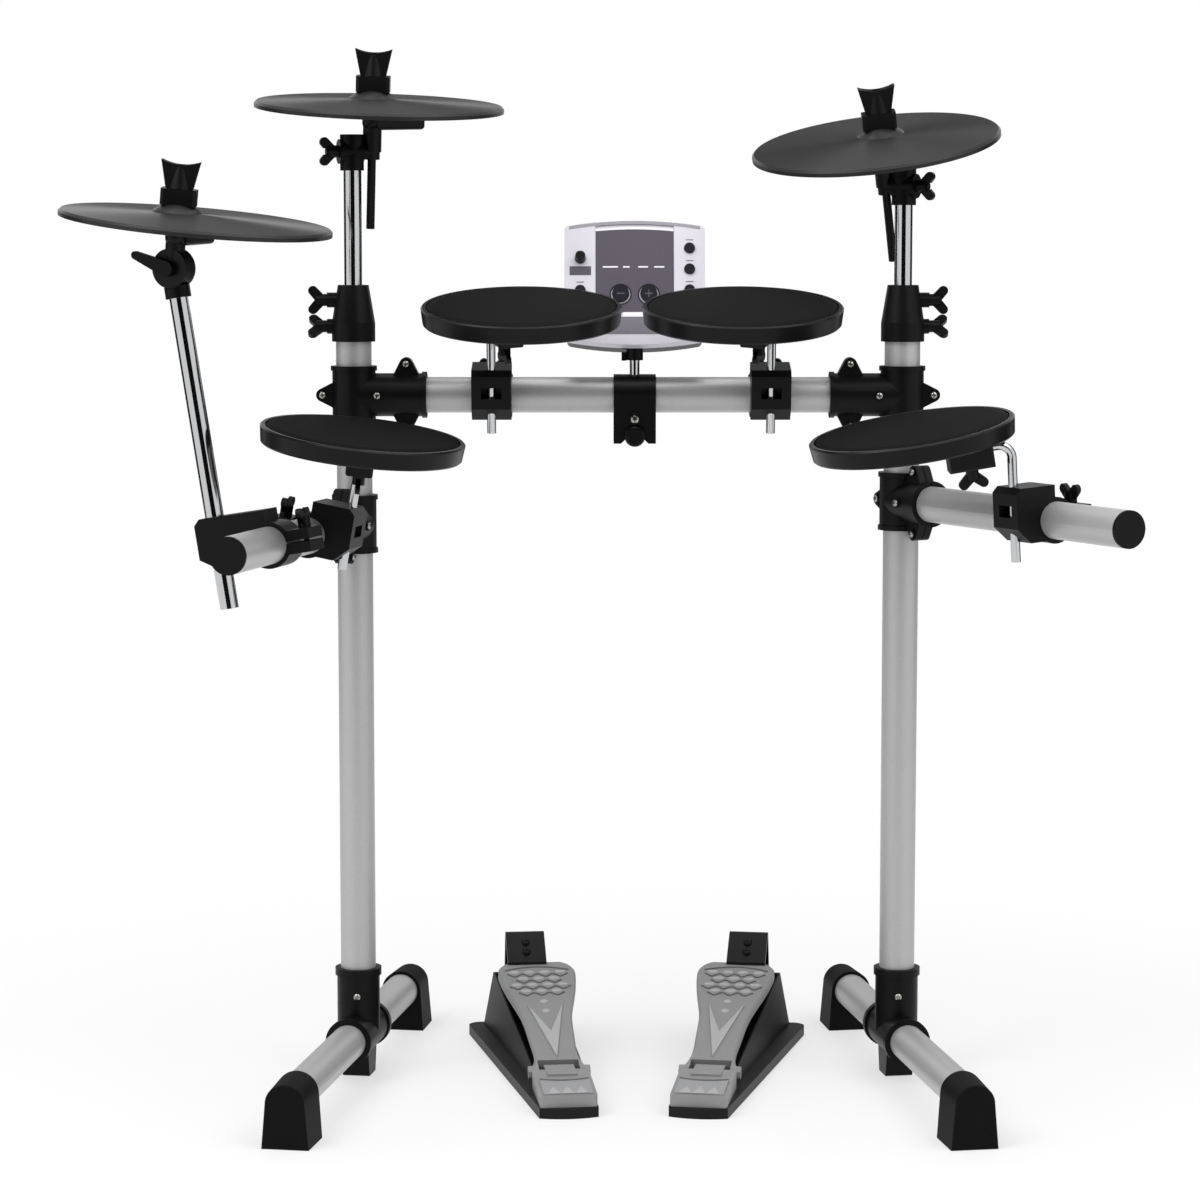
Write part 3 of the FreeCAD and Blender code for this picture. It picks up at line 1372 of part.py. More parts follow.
def build_hihat_stand():
    """Leaning rod on the left arm with the ratchet tilter and the hi-hat pad."""
    rail = left_arm_root + left_arm_way * hihat_clamp_station
    foot, rod_way = build_rod_clamp(rail, -left_arm_inner, hihat_clamp_roll_angle, hihat_clamp_offset,
                                    boom_rod_radius, hihat_clamp_width)
    pivot = foot + rod_way * hihat_pivot_distance
    seat = hihat_socket_below_pivot + boom_rod_radius / 2
    nodes["hihat_rod"] = [pipe(boom_rod_radius, boom_rod_wall, foot - rod_way * hihat_rod_tail,
                               pivot - rod_way * seat)]
    stem_axis = leaning(hihat_stem_pitch_angle, hihat_stem_roll_angle)
    hinge = unit(rod_way.cross(stem_axis))
    nodes["hihat_tilter"] = [put(hihat_tilter(), place(pivot, rod_way, hinge.cross(rod_way)))]
    nodes["hihat_stem"] = [put(hihat_stem(), place(pivot, stem_axis, hinge.cross(stem_axis)))]
    build_cymbal("hihat", hihat_diameter, pivot, stem_axis, hihat_cymbal_shift, hihat_shift_azimuth_angle,
                 "hihat_stem")
    return rod_way, pivot, hinge


def build_module():
    """Sound module on its rod and strap."""
    face_up = V(0, sine(module_lean_angle), cosine(module_lean_angle))
    face_foot = V(module_position, module_face_bottom_setback, module_face_bottom_height)
    face = place(face_foot, face_up, right)
    rod_line = right * module_position
    socket_low = rod_line + up * module_socket_bottom
    socket_top = socket_low + up * module_socket_depth
    back = put(module_back(), face)
    socket = bar(module_socket_radius, socket_low, socket_top + up * module_wall)
    back = joined([back, socket])
    back = back.cut(bar(module_rod_radius + running_clearance, socket_low - up * cut_overrun, socket_top))
    screw_line = socket_low + up * module_screw_height
    screw_tip = screw_line - right * (module_rod_radius + moving_gap)
    screw_seat = screw_line - right * module_socket_radius
    back = back.cut(bar(module_screw_radius + seat_clearance, screw_line, screw_seat - right * cut_overrun))
    wing_low = V(-module_screw_wing_thickness, -module_screw_wing_width / 2, -module_screw_wing_height / 2)
    wing_high = V(0, module_screw_wing_width / 2, module_screw_wing_height / 2)
    wing = box(wing_low, wing_high)
    wing.translate(screw_seat)
    screw = joined([bar(module_screw_radius, screw_seat, screw_tip), wing])
    nodes["module_front"] = [put(module_front(), face)]
    nodes["module_back"] = [back, put(module_board(), face), screw]
    for name, radius, x, z in control_places():
        spot = face.multiply(FreeCAD.Placement(V(x, 0, z), FreeCAD.Rotation()))
        nodes[name] = [put(button(radius), spot)]
    knob_spot = V(left_column_place, 0, knob_rise)
    knob_seat = face.multiply(FreeCAD.Placement(knob_spot, FreeCAD.Rotation()))
    nodes["volume_knob"] = [put(volume_knob(), knob_seat)]
    strap = FreeCAD.Placement(rod_line + bar_line, FreeCAD.Rotation())
    nodes["module_strap"] = put_all([module_strap(), strap_screw(), strap_knob()], strap)
    rod_foot = rod_line + bar_line + up * (tube_radius + seat_clearance)
    nodes["module_rod"] = [bar(module_rod_radius, rod_foot, socket_top - up * moving_gap)]
    return face.Rotation.multVec(away), face.multVec(knob_spot), rod_line


pedal_hinges = {}


def build_pedals():
    """Kick and hi-hat pedals on the floor."""
    for node in ("pedal_bases", "pedal_heels", "pedal_pins", "pedal_springs", "pedal_brackets"):
        nodes[node] = []
    pedals = (("hihat_board", -1, left_pedal_front_place, left_pedal_splay_angle),
              ("kick_board", 1, right_pedal_front_place, -right_pedal_splay_angle))
    for name, outer, front_place, splay in pedals:
        stand = FreeCAD.Placement(V(front_place, pedal_front_setback, 0), FreeCAD.Rotation(up, splay))
        nodes["pedal_bases"] += put_all([pedal_base(outer), pedal_bumper()], stand)
        nodes["pedal_heels"].append(put(pedal_heel(), stand))
        nodes["pedal_pins"].append(put(hinge_pin(), stand))
        nodes["pedal_springs"] += put_all(hinge_springs(), stand)
        nodes["pedal_brackets"].append(put(pedal_bracket(outer), stand))
        nodes[name] = [put(footboard(), stand)]
        pedal_hinges[name] = (stand.multVec(V(0, hinge_place, hinge_height)), stand.Rotation.multVec(right))


build_rack()
build_pads()
build_boom_stands()
hihat_rod_way, hihat_pivot, hihat_hinge = build_hihat_stand()
module_inward, module_knob_point, module_rod_line = build_module()
build_pedals()

# The origin is the middle of the footprint on the floor
everything = Part.makeCompound([shape for shapes in nodes.values() for shape in shapes])
extent = everything.optimalBoundingBox(False, False)
shift_to_origin = V(-(extent.XMin + extent.XMax) / 2, -(extent.YMin + extent.YMax) / 2, 0)
os.makedirs("parts", exist_ok=True)
for node, shapes in nodes.items():
    nodes[node] = [shape.translated(shift_to_origin) for shape in shapes]
    whole = nodes[node][0] if len(shapes) == 1 else Part.makeCompound(nodes[node])
    whole.exportStep("parts/" + node + ".step")
print("nodes", len(nodes), "shift", shift_to_origin, "extent", extent)
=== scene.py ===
"""Looks of an electronic drum kit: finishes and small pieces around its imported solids."""
import json
import math

import bmesh
import bpy
from bpy.props import FloatProperty, FloatVectorProperty, IntProperty, PointerProperty
from mathutils import Matrix, Vector


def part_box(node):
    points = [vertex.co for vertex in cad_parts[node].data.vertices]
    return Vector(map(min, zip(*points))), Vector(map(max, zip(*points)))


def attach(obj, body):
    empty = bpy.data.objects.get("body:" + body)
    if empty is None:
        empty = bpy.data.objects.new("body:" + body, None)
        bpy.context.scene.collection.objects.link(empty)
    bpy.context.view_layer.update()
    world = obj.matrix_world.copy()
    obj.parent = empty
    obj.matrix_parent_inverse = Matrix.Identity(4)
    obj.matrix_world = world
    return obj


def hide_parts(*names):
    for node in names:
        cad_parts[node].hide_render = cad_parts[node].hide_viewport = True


bl_info = {
    "name": "Drum kit looks",
    "version": (1, 0, 0),
    "blender": (4, 5, 0),
    "location": "View3D > Sidebar > Drum kit",
    "description": "Dresses the packed solids of an electronic drum kit with finishes and small pieces",
    "category": "Object",
}

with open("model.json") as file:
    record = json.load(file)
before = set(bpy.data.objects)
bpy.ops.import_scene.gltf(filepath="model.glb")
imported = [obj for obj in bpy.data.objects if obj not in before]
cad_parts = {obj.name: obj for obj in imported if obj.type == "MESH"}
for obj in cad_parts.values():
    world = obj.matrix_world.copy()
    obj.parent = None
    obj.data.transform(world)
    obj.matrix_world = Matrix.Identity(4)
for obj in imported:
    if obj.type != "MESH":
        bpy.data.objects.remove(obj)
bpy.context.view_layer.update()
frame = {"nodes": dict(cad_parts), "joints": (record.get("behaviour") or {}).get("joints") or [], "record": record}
joints = {joint["name"]: joint for joint in frame["joints"]}

MM = 0.001
RIGHT = Vector((1, 0, 0))
AWAY = Vector((0, 1, 0))
UP = Vector((0, 0, 1))
DRUM_PADS = ("tom_left", "tom_right", "snare", "floor_tom")
CYMBALS = ("crash", "ride", "hihat")
SIDES = (-1, 1)

# A face looks one way when its normal is this near to it, and two faces are parallel above the second value
FACING_SHARE = 0.6
PARALLEL_SHARE = 0.999
SMOOTH_ANGLE = math.radians(35)
QUARTER_TURN = Matrix.Rotation(math.pi / 2, 4, "Z")
# Points within this height of a flat face belong to it
LEVEL_ROOM = 0.5 * MM

# Facets of round and curved pieces
ROUND_STEPS = 24
HOLE_STEPS = 48
DOME_STEPS = 8
RIDGE_STEPS = 6
ARCH_STEPS = 12
WAVE_STEPS = 12
TOE_STEPS = 16
HEEL_STEPS = 10
RIM_TURNS = (math.radians(30), math.radians(60), math.radians(90))
SHOULDER_SHARES = (0, 0.25, 0.5, 0.75, 1)

# Counts of the pedals' relief, and places of the labels along half the panel's width
GRIP_ROWS = 4
GRIP_COUNT = 4
STUD_COUNT = 2
BIG_BUTTONS = ("button_minus", "button_plus")
SMALL_BUTTONS = ("button_left", "button_right_1", "button_right_2", "button_right_3")
LABEL_SHARES = ((-0.82, -0.43), (-0.3, -0.13), (0.09, 0.34), (0.5, 0.76))

# Positions of the two tones in the grain
TONE_SHARES = (0.3, 0.7)

# Grain and relief of the finishes
TUBE_FLAKE = 1.4 * MM
TUBE_PEEL = 0.02 * MM
NYLON_GRAIN = 1.2 * MM
NYLON_TEXTURE = 0.02 * MM
FOOT_GRAIN = 2.5 * MM
FOOT_TEXTURE = 0.04 * MM
CHROME_HAZE = 6 * MM
CHROME_RIPPLE = 0.0004 * MM
COAT_GRAIN = 2.2 * MM
COAT_PEEL = 0.02 * MM
METAL_GRAIN = 1.5 * MM
METAL_TEXTURE = 0.008 * MM
HEAD_GRAIN = 1.5 * MM
HEAD_TEXTURE = 0.03 * MM
CYMBAL_GRAIN = 2 * MM
CYMBAL_TEXTURE = 0.015 * MM
SHELL_CLOUD = 9 * MM
SHELL_RIPPLE = 0.002 * MM
LACQUER_FLAKE = 0.9 * MM
LACQUER_PEEL = 0.006 * MM
PANEL_GRAIN = 1.1 * MM
PANEL_TEXTURE = 0.008 * MM
INK_MOTTLE = 0.8 * MM
INK_TEXTURE = 0.004 * MM
BUTTON_GRAIN = 1 * MM
BUTTON_TEXTURE = 0.01 * MM
ABS_GRAIN = 1.4 * MM
ABS_TEXTURE = 0.02 * MM


def linear(code):
    """Linear RGB of an sRGB hex colour."""
    values = [int(code[start:start + 2], 16) / 255 for start in (1, 3, 5)]
    return tuple(v / 12.92 if v <= 0.04045 else ((v + 0.055) / 1.055) ** 2.4 for v in values)


def length(name, description, millimetres):
    """Length property with its default in millimetres."""
    return FloatProperty(name=name, description=description, default=millimetres * MM, precision=4,
                         subtype="DISTANCE", unit="LENGTH")


def colour(name, description, code):
    """Colour property with its default as a hex code."""
    return FloatVectorProperty(name=name, description=description, default=linear(code), size=3,
                               min=0, max=1, subtype="COLOR")


def power(name, description, watts):
    """Lamp power property."""
    return FloatProperty(name=name, description=description, default=watts, unit="POWER")


class StageSettings(bpy.types.PropertyGroup):
    """Camera, lamps and floor."""
    camera_side: length("Camera side", "Camera to the right of the middle between the posts", -30)
    camera_distance: length("Camera distance", "Camera in front of the posts", 3745)
    camera_height: length("Camera height", "Camera above the floor", 929)
    camera_pitch: FloatProperty(name="Camera pitch", description="How far the camera looks down",
                                default=math.radians(6.23), subtype="ANGLE", unit="ROTATION")
    lens: FloatProperty(name="Lens", description="Focal length", default=105, unit="CAMERA")
    sensor: FloatProperty(name="Sensor", description="Width of the sensor", default=36, unit="CAMERA")
    floor_size: length("Floor size", "Side of the square floor", 9000)
    floor_near: length("Floor near", "Distance from the kit where the floor starts to fade to white", 450)
    floor_far: length("Floor far", "Distance from the kit where the floor is plain white", 1300)
    floor_glow: FloatProperty(name="Floor glow", default=0.55, min=0, max=1, subtype="FACTOR",
                              description="Share of plain white in the floor under the kit")
    lamp_size: length("Lamp size", "Side of each square lamp", 2200)
    lamp_height: length("Lamp height", "Height of the lamps", 3000)
    lamp_side: length("Lamp side", "Lamps left and right of the kit", 1900)
    lamp_front: length("Lamp front", "Lamps in front of the kit", 1600)
    card_distance: length("Card distance", "Dark card behind the camera", 5200)
    card_width: length("Card width", "Width of the dark card behind the camera", 5200)
    card_height: length("Card height", "Height of the front and side cards", 5200)
    side_card_place: length("Side cards", "Dark cards left and right of the kit", 3200)
    side_card_setback: length("Side card setback", "Dark side cards behind the kit", 1500)
    side_card_width: length("Side card width", "Width of a dark side card", 2600)
    back_card_setback: length("Back card setback", "Dark cards behind the kit", 3600)
    high_card_height: length("High card height", "Middle of the high back card above the floor", 3000)
    high_card_size: length("High card size", "Side of the high back card", 1900)
    low_card_height: length("Low card height", "Middle of the low back card above the floor", 550)
    low_card_width: length("Low card width", "Width of the low back card", 6000)
    low_card_size: length("Low card size", "Height of the low back card", 1000)
    key_power: power("Key lamp", "Power of the left lamp", 62)
    fill_power: power("Fill lamp", "Power of the right lamp", 40)
    top_power: power("Top lamp", "Power of the lamp over the kit", 30)
    ambient: FloatProperty(name="Ambient", description="Light from all round", default=0.5)
    floor_colour: colour("Floor", "Pale floor", "#F4F4F4")
    card_colour: colour("Card", "Dark cards that the metal mirrors", "#141415")


class RackSettings(bpy.types.PropertyGroup):
    """Tubes, clamps and their screws."""
    tube_colour: colour("Tube", "Silver powder coat of the rack tubes", "#B6B6B6")
    nylon_colour: colour("Clamp", "Black nylon of the clamps", "#0C0C0D")
    foot_colour: colour("Foot", "Black rubber of the feet", "#0F0F0F")
    steel_colour: colour("Steel", "Black coat on bolts, strap and brackets", "#0F0F10")
    pin_colour: colour("Pin", "Blackened steel of the pedals' pins and springs", "#2A2A2B")
    chrome_colour: colour("Chrome", "Plated rods", "#C6C7C9")
    zinc_colour: colour("Zinc", "Bright screws", "#A6A6A2")
    screw_radius: length("Screw radius", "Pan head of a clamp screw", 3.8)
    screw_height: length("Screw height", "Height of a pan head", 2.4)
    slot_length: length("Slot length", "Cross slot of a screw", 4.6)
    slot_width: length("Slot width", "Width of the cross slot", 1.2)
    slot_depth: length("Slot depth", "Depth of the cross slot", 1.3)
    corner_reach: length("Corner reach", "Mouth of a corner clamp from its post", 78)
    arm_reach: length("Arm reach", "Mouth of an arm clamp from its post", 58)
    lug_reach: length("Lug reach", "Screw lug from its tube's axis", 33)
    lug_setback: length("Lug setback", "Upright lugs behind the clamp's mouth", 22)
    lug_face: length("Lug face", "Screw seat of a lug from the split", 10.5)
    middle_place: length("Middle screw", "Middle screw from the post's axis", 26)
    middle_face: length("Middle face", "Seat of the middle screw from the split", 24.6)
    tee_screw_height: length("Tee screw height", "Screw of a base tee above the floor", 90)
    tee_screw_radius: length("Tee screw radius", "Head of a base tee's screw", 4)
    tee_socket_wall: length("Tee socket wall", "Base tee round its post", 4.1)
    strap_face: length("Strap face", "Front of the strap from the bar's axis", 22.1)
    strap_screw_drop: length("Strap screw drop", "Strap screw below the bar's axis", 25)
    strap_screw_radius: length("Strap screw radius", "Head of the strap's screw", 6.4)
    strap_screw_height: length("Strap screw height", "Height of the strap screw's head", 4)


class PadSettings(bpy.types.PropertyGroup):
    """Drum pads and cymbals."""
    rubber_colour: colour("Pad rubber", "Playing surface of the drum pads", "#151515")
    shell_colour: colour("Shell", "Black ABS of the shells", "#0B0B0C")
    cymbal_colour: colour("Cymbal rubber", "Rubber of the cymbals", "#222223")
    head_thickness: length("Head thickness", "Rubber below the top of a head", 6)
    shoulder_width: length("Shoulder width", "Sloping edge of a head", 9)
    shoulder_drop: length("Shoulder drop", "How far the edge slopes down", 1.5)
    edge_radius: length("Edge radius", "Rounding of a head's rim", 0.9)
    steps: IntProperty(name="Steps", description="Facets round a head", default=128)


class ModuleSettings(bpy.types.PropertyGroup):
    """Face of the sound module, with distances down from its top."""
    case_colour: colour("Case", "Silver paint of the case", "#D6D3DC")
    panel_colour: colour("Panel", "Grey panel between the strips", "#544F59")
    chin_colour: colour("Chin", "Lighter grey below the panel", "#77737C")
    button_colour: colour("Buttons", "Rubber of the buttons", "#1B1B22")
    ink_colour: colour("Ink", "White print", "#F2F0F4")
    mark_colour: colour("Mark", "Grey print on the buttons and strips", "#5E5A64")
    crest_colour: colour("Crest", "Darker lacquer along the module's top edge", "#96949A")
    strip_rise: length("Strip rise", "Side strips above the panel", 1.6)
    panel_half_width: length("Panel half width", "Half the panel's width", 41.6)
    panel_top: length("Panel top", "Top edge of the panel at its middle", 10)
    panel_bottom: length("Panel bottom", "Lower edge of the panel", 103)
    panel_thickness: length("Panel thickness", "Printed panel", 0.6)
    crest_margin: length("Crest margin", "Darker band below the module's top edge", 0.8)
    crest_height: length("Crest height", "Height of the darker band", 3.6)
    crest_half_width: length("Crest half width", "Half the darker band's width", 70)
    # Painted shadow: the dark ring round a big button stands in for the shade in the gap round it
    shadow_ring_width: length("Ring width", "Dark ring round a big button", 1.3)
    tick_width: length("Tick width", "Small plain mark beside a button", 8)
    tick_height: length("Tick height", "Height of a small mark", 0.9)
    tick_gap: length("Tick gap", "Small mark above its button", 2.4)
    line_width: length("Line width", "White line over the panel", 2.4)
    bar_half_width: length("Bar half width", "Half the white bar under the panel", 12.5)
    bar_bottom: length("Bar bottom", "Lower edge of the white bar", 108)
    chin_bottom: length("Chin bottom", "Lower edge of the chin", 127)
    arch: length("Arch", "Rise of the module's top edge", 7)
    ink_thickness: length("Ink thickness", "Height of the print", 0.15)
    label_top: length("Label top", "Row of white labels", 51.5)
    label_height: length("Label height", "Height of a white label", 1.6)
    plate_top: length("Plate top", "Dark plate on the left strip", 52)
    plate_height: length("Plate height", "Height of the dark plate", 10)
    plate_width: length("Plate width", "Width of the dark plate", 23)
    sign_reach: length("Sign reach", "Half the plus and minus signs", 4.2)
    sign_width: length("Sign width", "Line width of the signs", 1.1)
    hole_gap: length("Hole gap", "Room round a button's flange in the panel", 0.05)


class PedalSettings(bpy.types.PropertyGroup):
    """Pedals, with distances from the toe of the board."""
    board_colour: colour("Board", "Grey ABS of the boards and heels", "#8C8C8D")
    # Painted highlight: the grips, chevron and heel wedges are drawn in this paler grey for light falling on the
    # raised relief
    relief_highlight_colour: colour("Relief", "Lighter faces of the raised relief", "#ADADAE")
    heel_colour: colour("Heel pad", "Raised pad on the heel", "#98989A")
    # Painted shade: the ridges between the grips, across the toe and behind the heel pad are drawn in this darker
    # grey for shade in the grooves
    line_shade_colour: colour("Lines", "Darker ridges between the grips", "#5C5C5D")
    base_colour: colour("Base", "Dark ABS of the bases", "#19191A")
    grip_start: length("Grip start", "First row of grips", 27)
    grip_pitch: length("Grip pitch", "Grips along a row", 17.2)
    grip_spacing: length("Grip spacing", "Rows of grips", 16.5)
    grip_length: length("Grip length", "Half the length of a grip across the board", 6.2)
    grip_width: length("Grip width", "Half the width of a grip along the board", 3.8)
    grip_height: length("Grip height", "Height of a grip", 1.9)
    wave_reach: length("Wave reach", "Swing of the ridges between the grips", 3.2)
    wave_width: length("Wave width", "Width of a ridge", 2.2)
    wave_height: length("Wave height", "Height of a ridge", 1.3)
    stud_start: length("Stud start", "First of the two studs", 104)
    stud_spacing: length("Stud spacing", "Second stud behind the first", 24.5)
    stud_radius: length("Stud radius", "Radius of a stud", 4.6)
    chevron_top: length("Chevron top", "Open end of the raised chevron", 114)
    chevron_tip: length("Chevron tip", "Point of the raised chevron", 244)
    chevron_inner_tip: length("Chevron inner tip", "Point of the chevron's opening", 182)
    chevron_half_width: length("Chevron half width", "Half the chevron's open end", 19.5)
    chevron_height: length("Chevron height", "Height of the chevron", 1.8)
    heel_arc_drop: length("Heel arc drop", "Sag of the heel pad's rear edge", 5)
    heel_pad_margin: length("Heel pad margin", "Heel pad inside the heel's sides", 4)
    heel_pad_rear: length("Heel pad rear", "Rear edge of the heel pad behind the heel's front", 49)
    heel_pad_height: length("Heel pad height", "Height of the heel pad", 1.6)
    wedge_length: length("Wedge length", "Length of the wedges on the heel", 20)
    wedge_half_width: length("Wedge half width", "Half the width of a wedge", 6.6)
    wedge_pitch: length("Wedge pitch", "Wedges side by side on the heel", 14.5)
    toe_line_start: length("Toe line start", "Middle of the curved line across the toe", 13)
    toe_line_sag: length("Toe line sag", "Fall of the curved line towards the sides", 9)
    toe_line_reach: length("Toe line reach", "Half the curved line's width", 36)
    bracket_screw_radius: length("Bracket screw radius", "Head of a bracket's screw", 4.8)
    bracket_screw_height: length("Bracket screw height", "Height of a bracket screw's head", 3.6)
    bracket_screw_spacing: length("Bracket screws", "Distance between a bracket's two screws", 13)


class DrumKitSettings(bpy.types.PropertyGroup):
    stage: PointerProperty(type=StageSettings)
    rack: PointerProperty(type=RackSettings)
    pads: PointerProperty(type=PadSettings)
    module: PointerProperty(type=ModuleSettings)
    pedals: PointerProperty(type=PedalSettings)


# Materials


def add_node(tree, kind, settings=None, links=None):
    """Add a shader node, set its values and join its inputs to sockets."""
    node = tree.nodes.new(kind)
    for name, value in (settings or {}).items():
        if name == "stops":
            for element, (position, shade) in zip(node.color_ramp.elements, value):
                element.position = position
                element.color = (*shade, 1)
        elif name in node.inputs:
            node.inputs[name].default_value = value
        else:
            setattr(node, name, value)
    for name, socket in (links or {}).items():
        tree.links.new(socket, node.inputs[name])
    return node


def new_finish(name, settings):
    """Material with a principled shader and the object's own coordinates."""
    material = bpy.data.materials.new(name)
    material.use_nodes = True
    tree = material.node_tree
    shader = tree.nodes["Principled BSDF"]
    for socket, value in settings.items():
        shader.inputs[socket].default_value = value
    place = add_node(tree, "ShaderNodeTexCoord").outputs["Object"]
    return material, tree, shader, place


def shaded(shade, share):
    """A colour made lighter or darker by a share."""
    return tuple(min(1, value * share) for value in shade)


def grained(name, shade, settings, grain, tones, roughness, bump):
    """Finish with a cloudy grain: tones are shares of the colour, grain and bump are lengths."""
    material, tree, shader, place = new_finish(name, settings)
    noise = add_node(tree, "ShaderNodeTexNoise", {"Scale": 1 / grain, "Detail": 3.0, "Roughness": 0.6},
                     {"Vector": place})
    stops = [(position, shaded(shade, share)) for position, share in zip(TONE_SHARES, tones)]
    tone = add_node(tree, "ShaderNodeValToRGB", {"stops": stops}, {"Fac": noise.outputs["Fac"]})
    gloss = add_node(tree, "ShaderNodeMapRange", {"To Min": roughness[0], "To Max": roughness[1]},
                     {"Value": noise.outputs["Fac"]})
    relief = add_node(tree, "ShaderNodeBump", {"Strength": 1.0, "Distance": bump},
                      {"Height": noise.outputs["Fac"]})
    tree.links.new(tone.outputs["Color"], shader.inputs["Base Color"])
    tree.links.new(gloss.outputs["Result"], shader.inputs["Roughness"])
    tree.links.new(relief.outputs["Normal"], shader.inputs["Normal"])
    return material


def powder_coated_tube(shade):
    """Steel tube in silver powder coat."""
    # Metal flake in a baked coat gives broad, soft bands of light. The flake is drawn coarser than it is.
    return grained("powder_coated_tube", shade, {"Metallic": 0.4}, TUBE_FLAKE,
                   (0.94, 1.06), (0.38, 0.46), TUBE_PEEL)


def moulded_nylon(shade):
    """Glass-filled nylon, injection moulded in a spark-eroded mould."""
    # The fine mould texture spreads highlights and hides the glass fibre.
    return grained("moulded_nylon", shade, {"IOR": 1.53, "Specular IOR Level": 0.12}, NYLON_GRAIN,
                   (0.85, 1.2), (0.34, 0.44), NYLON_TEXTURE)


def moulded_foot_rubber(shade):
    """Natural rubber foot, compression moulded."""
    # Dull and slightly dusty, with no clear highlight.
    return grained("moulded_foot_rubber", shade, {"IOR": 1.52, "Specular IOR Level": 0.06}, FOOT_GRAIN,
                   (0.85, 1.35), (0.5, 0.62), FOOT_TEXTURE)


def plated_chrome(shade):
    """Chrome plate on drawn steel rod."""
    # A clear mirror with faint polishing haze.
    return grained("plated_chrome", shade, {"Metallic": 1.0}, CHROME_HAZE,
                   (0.97, 1.0), (0.06, 0.12), CHROME_RIPPLE)


def coated_black_steel(shade):
    """Sheet and bolt steel in black powder coat."""
    # Orange peel in the coat breaks up its soft shine.
    return grained("coated_black_steel", shade, {"IOR": 1.5, "Specular IOR Level": 0.16}, COAT_GRAIN,
                   (0.9, 1.15), (0.3, 0.38), COAT_PEEL)


def blackened_steel(shade):
    """Steel pin and spring wire, blackened in hot oxide."""
    # Dark satin metal that keeps a thin film of oil.
    return grained("blackened_steel", shade, {"Metallic": 0.8}, METAL_GRAIN,
                   (0.85, 1.1), (0.3, 0.42), METAL_TEXTURE)


def zinc_plated_steel(shade):
    """Bright zinc plate on screws."""
    # Satin metal with a slight cloud.
    return grained("zinc_plated_steel", shade, {"Metallic": 1.0}, METAL_GRAIN,
                   (0.85, 1.0), (0.2, 0.34), METAL_TEXTURE)


def moulded_pad_rubber(shade):
    """Rubber playing head, compression moulded with a fine matt grain."""
    # Light spreads evenly and stick wear shows as faint cloudy patches.
    return grained("moulded_pad_rubber", shade, {"IOR": 1.52, "Specular IOR Level": 0.02}, HEAD_GRAIN,
                   (0.9, 1.12), (0.62, 0.72), HEAD_TEXTURE)


def moulded_cymbal_rubber(name, shade, centre, axis):
    """Rubber cymbal top, moulded over a hard plate."""
    # Fine rings left by the turned mould draw the soft sheen out into sectors.
    finish = {"IOR": 1.52, "Specular IOR Level": 0.2, "Anisotropic": 0.8, "Anisotropic Rotation": 0.25}
    material = grained(name, shade, finish, CYMBAL_GRAIN, (0.92, 1.08), (0.36, 0.44), CYMBAL_TEXTURE)
    tree = material.node_tree
    place = add_node(tree, "ShaderNodeTexCoord").outputs["Object"]
    offset = add_node(tree, "ShaderNodeVectorMath", {"operation": "SUBTRACT"}, {0: place})
    offset.inputs[1].default_value = centre
    ring = add_node(tree, "ShaderNodeVectorMath", {"operation": "CROSS_PRODUCT"},
                    {0: offset.outputs["Vector"]})
    ring.inputs[1].default_value = axis
    tree.links.new(ring.outputs["Vector"], tree.nodes["Principled BSDF"].inputs["Tangent"])
    return material


def polished_black_abs(shade):
    """ABS shell, moulded in a polished mould."""
    # Deep black with clear, slightly soft reflections.
    return grained("polished_black_abs", shade, {"IOR": 1.54, "Specular IOR Level": 0.15}, SHELL_CLOUD,
                   (0.92, 1.1), (0.26, 0.34), SHELL_RIPPLE)


def painted_silver_abs(name, shade):
    """ABS case in silver lacquer."""
    # A pale cool grey with fine pearl flake.
    return grained(name, shade, {"IOR": 1.5, "Metallic": 0.1}, LACQUER_FLAKE,
                   (0.96, 1.04), (0.34, 0.42), LACQUER_PEEL)


def printed_panel(name, shade):
    """Polycarbonate panel, printed from behind."""
    # Even colour under a satin face.
    return grained(name, shade, {"IOR": 1.58, "Specular IOR Level": 0.2}, PANEL_GRAIN,
                   (0.96, 1.05), (0.36, 0.44), PANEL_TEXTURE)


def screen_print(name, shade):
    """Screen-printed ink."""
    # Flat and matt, with the slight mottle of the mesh.
    return grained(name, shade, {"IOR": 1.48, "Specular IOR Level": 0.2}, INK_MOTTLE,
                   (0.94, 1.03), (0.5, 0.6), INK_TEXTURE)


def silicone_button(shade):
    """Silicone push button, moulded."""
    # Soft black with a dull shine.
    return grained("silicone_button", shade, {"IOR": 1.43, "Specular IOR Level": 0.15}, BUTTON_GRAIN,
                   (0.9, 1.15), (0.4, 0.5), BUTTON_TEXTURE)


def moulded_grey_abs(name, shade):
    """Grey ABS footboard, injection moulded with a light texture."""
    # Mid grey with soft broad highlights. A paler copy paints highlight on the raised relief and a darker copy
    # paints shade in the grooves.
    return grained(name, shade, {"IOR": 1.54, "Specular IOR Level": 0.35}, ABS_GRAIN,
                   (0.94, 1.06), (0.4, 0.5), ABS_TEXTURE)


def moulded_dark_abs(shade):
    """Charcoal ABS pedal base, injection moulded."""
    # Satin charcoal that lightens towards the light.
    return grained("moulded_dark_abs", shade, {"IOR": 1.54, "Specular IOR Level": 0.12}, ABS_GRAIN,
                   (0.9, 1.12), (0.38, 0.48), ABS_TEXTURE)


# Places on the frame


def node_box(node):
    """Lowest and highest corner of a solid."""
    low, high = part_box(node)
    return Vector(low), Vector(high)


def kit_middle():
    """Point midway between the two posts."""
    low, high = node_box("posts")
    return (low + high) / 2


def on_side(point, side):
    return side == 0 or (point.x - kit_middle().x) * side > 0


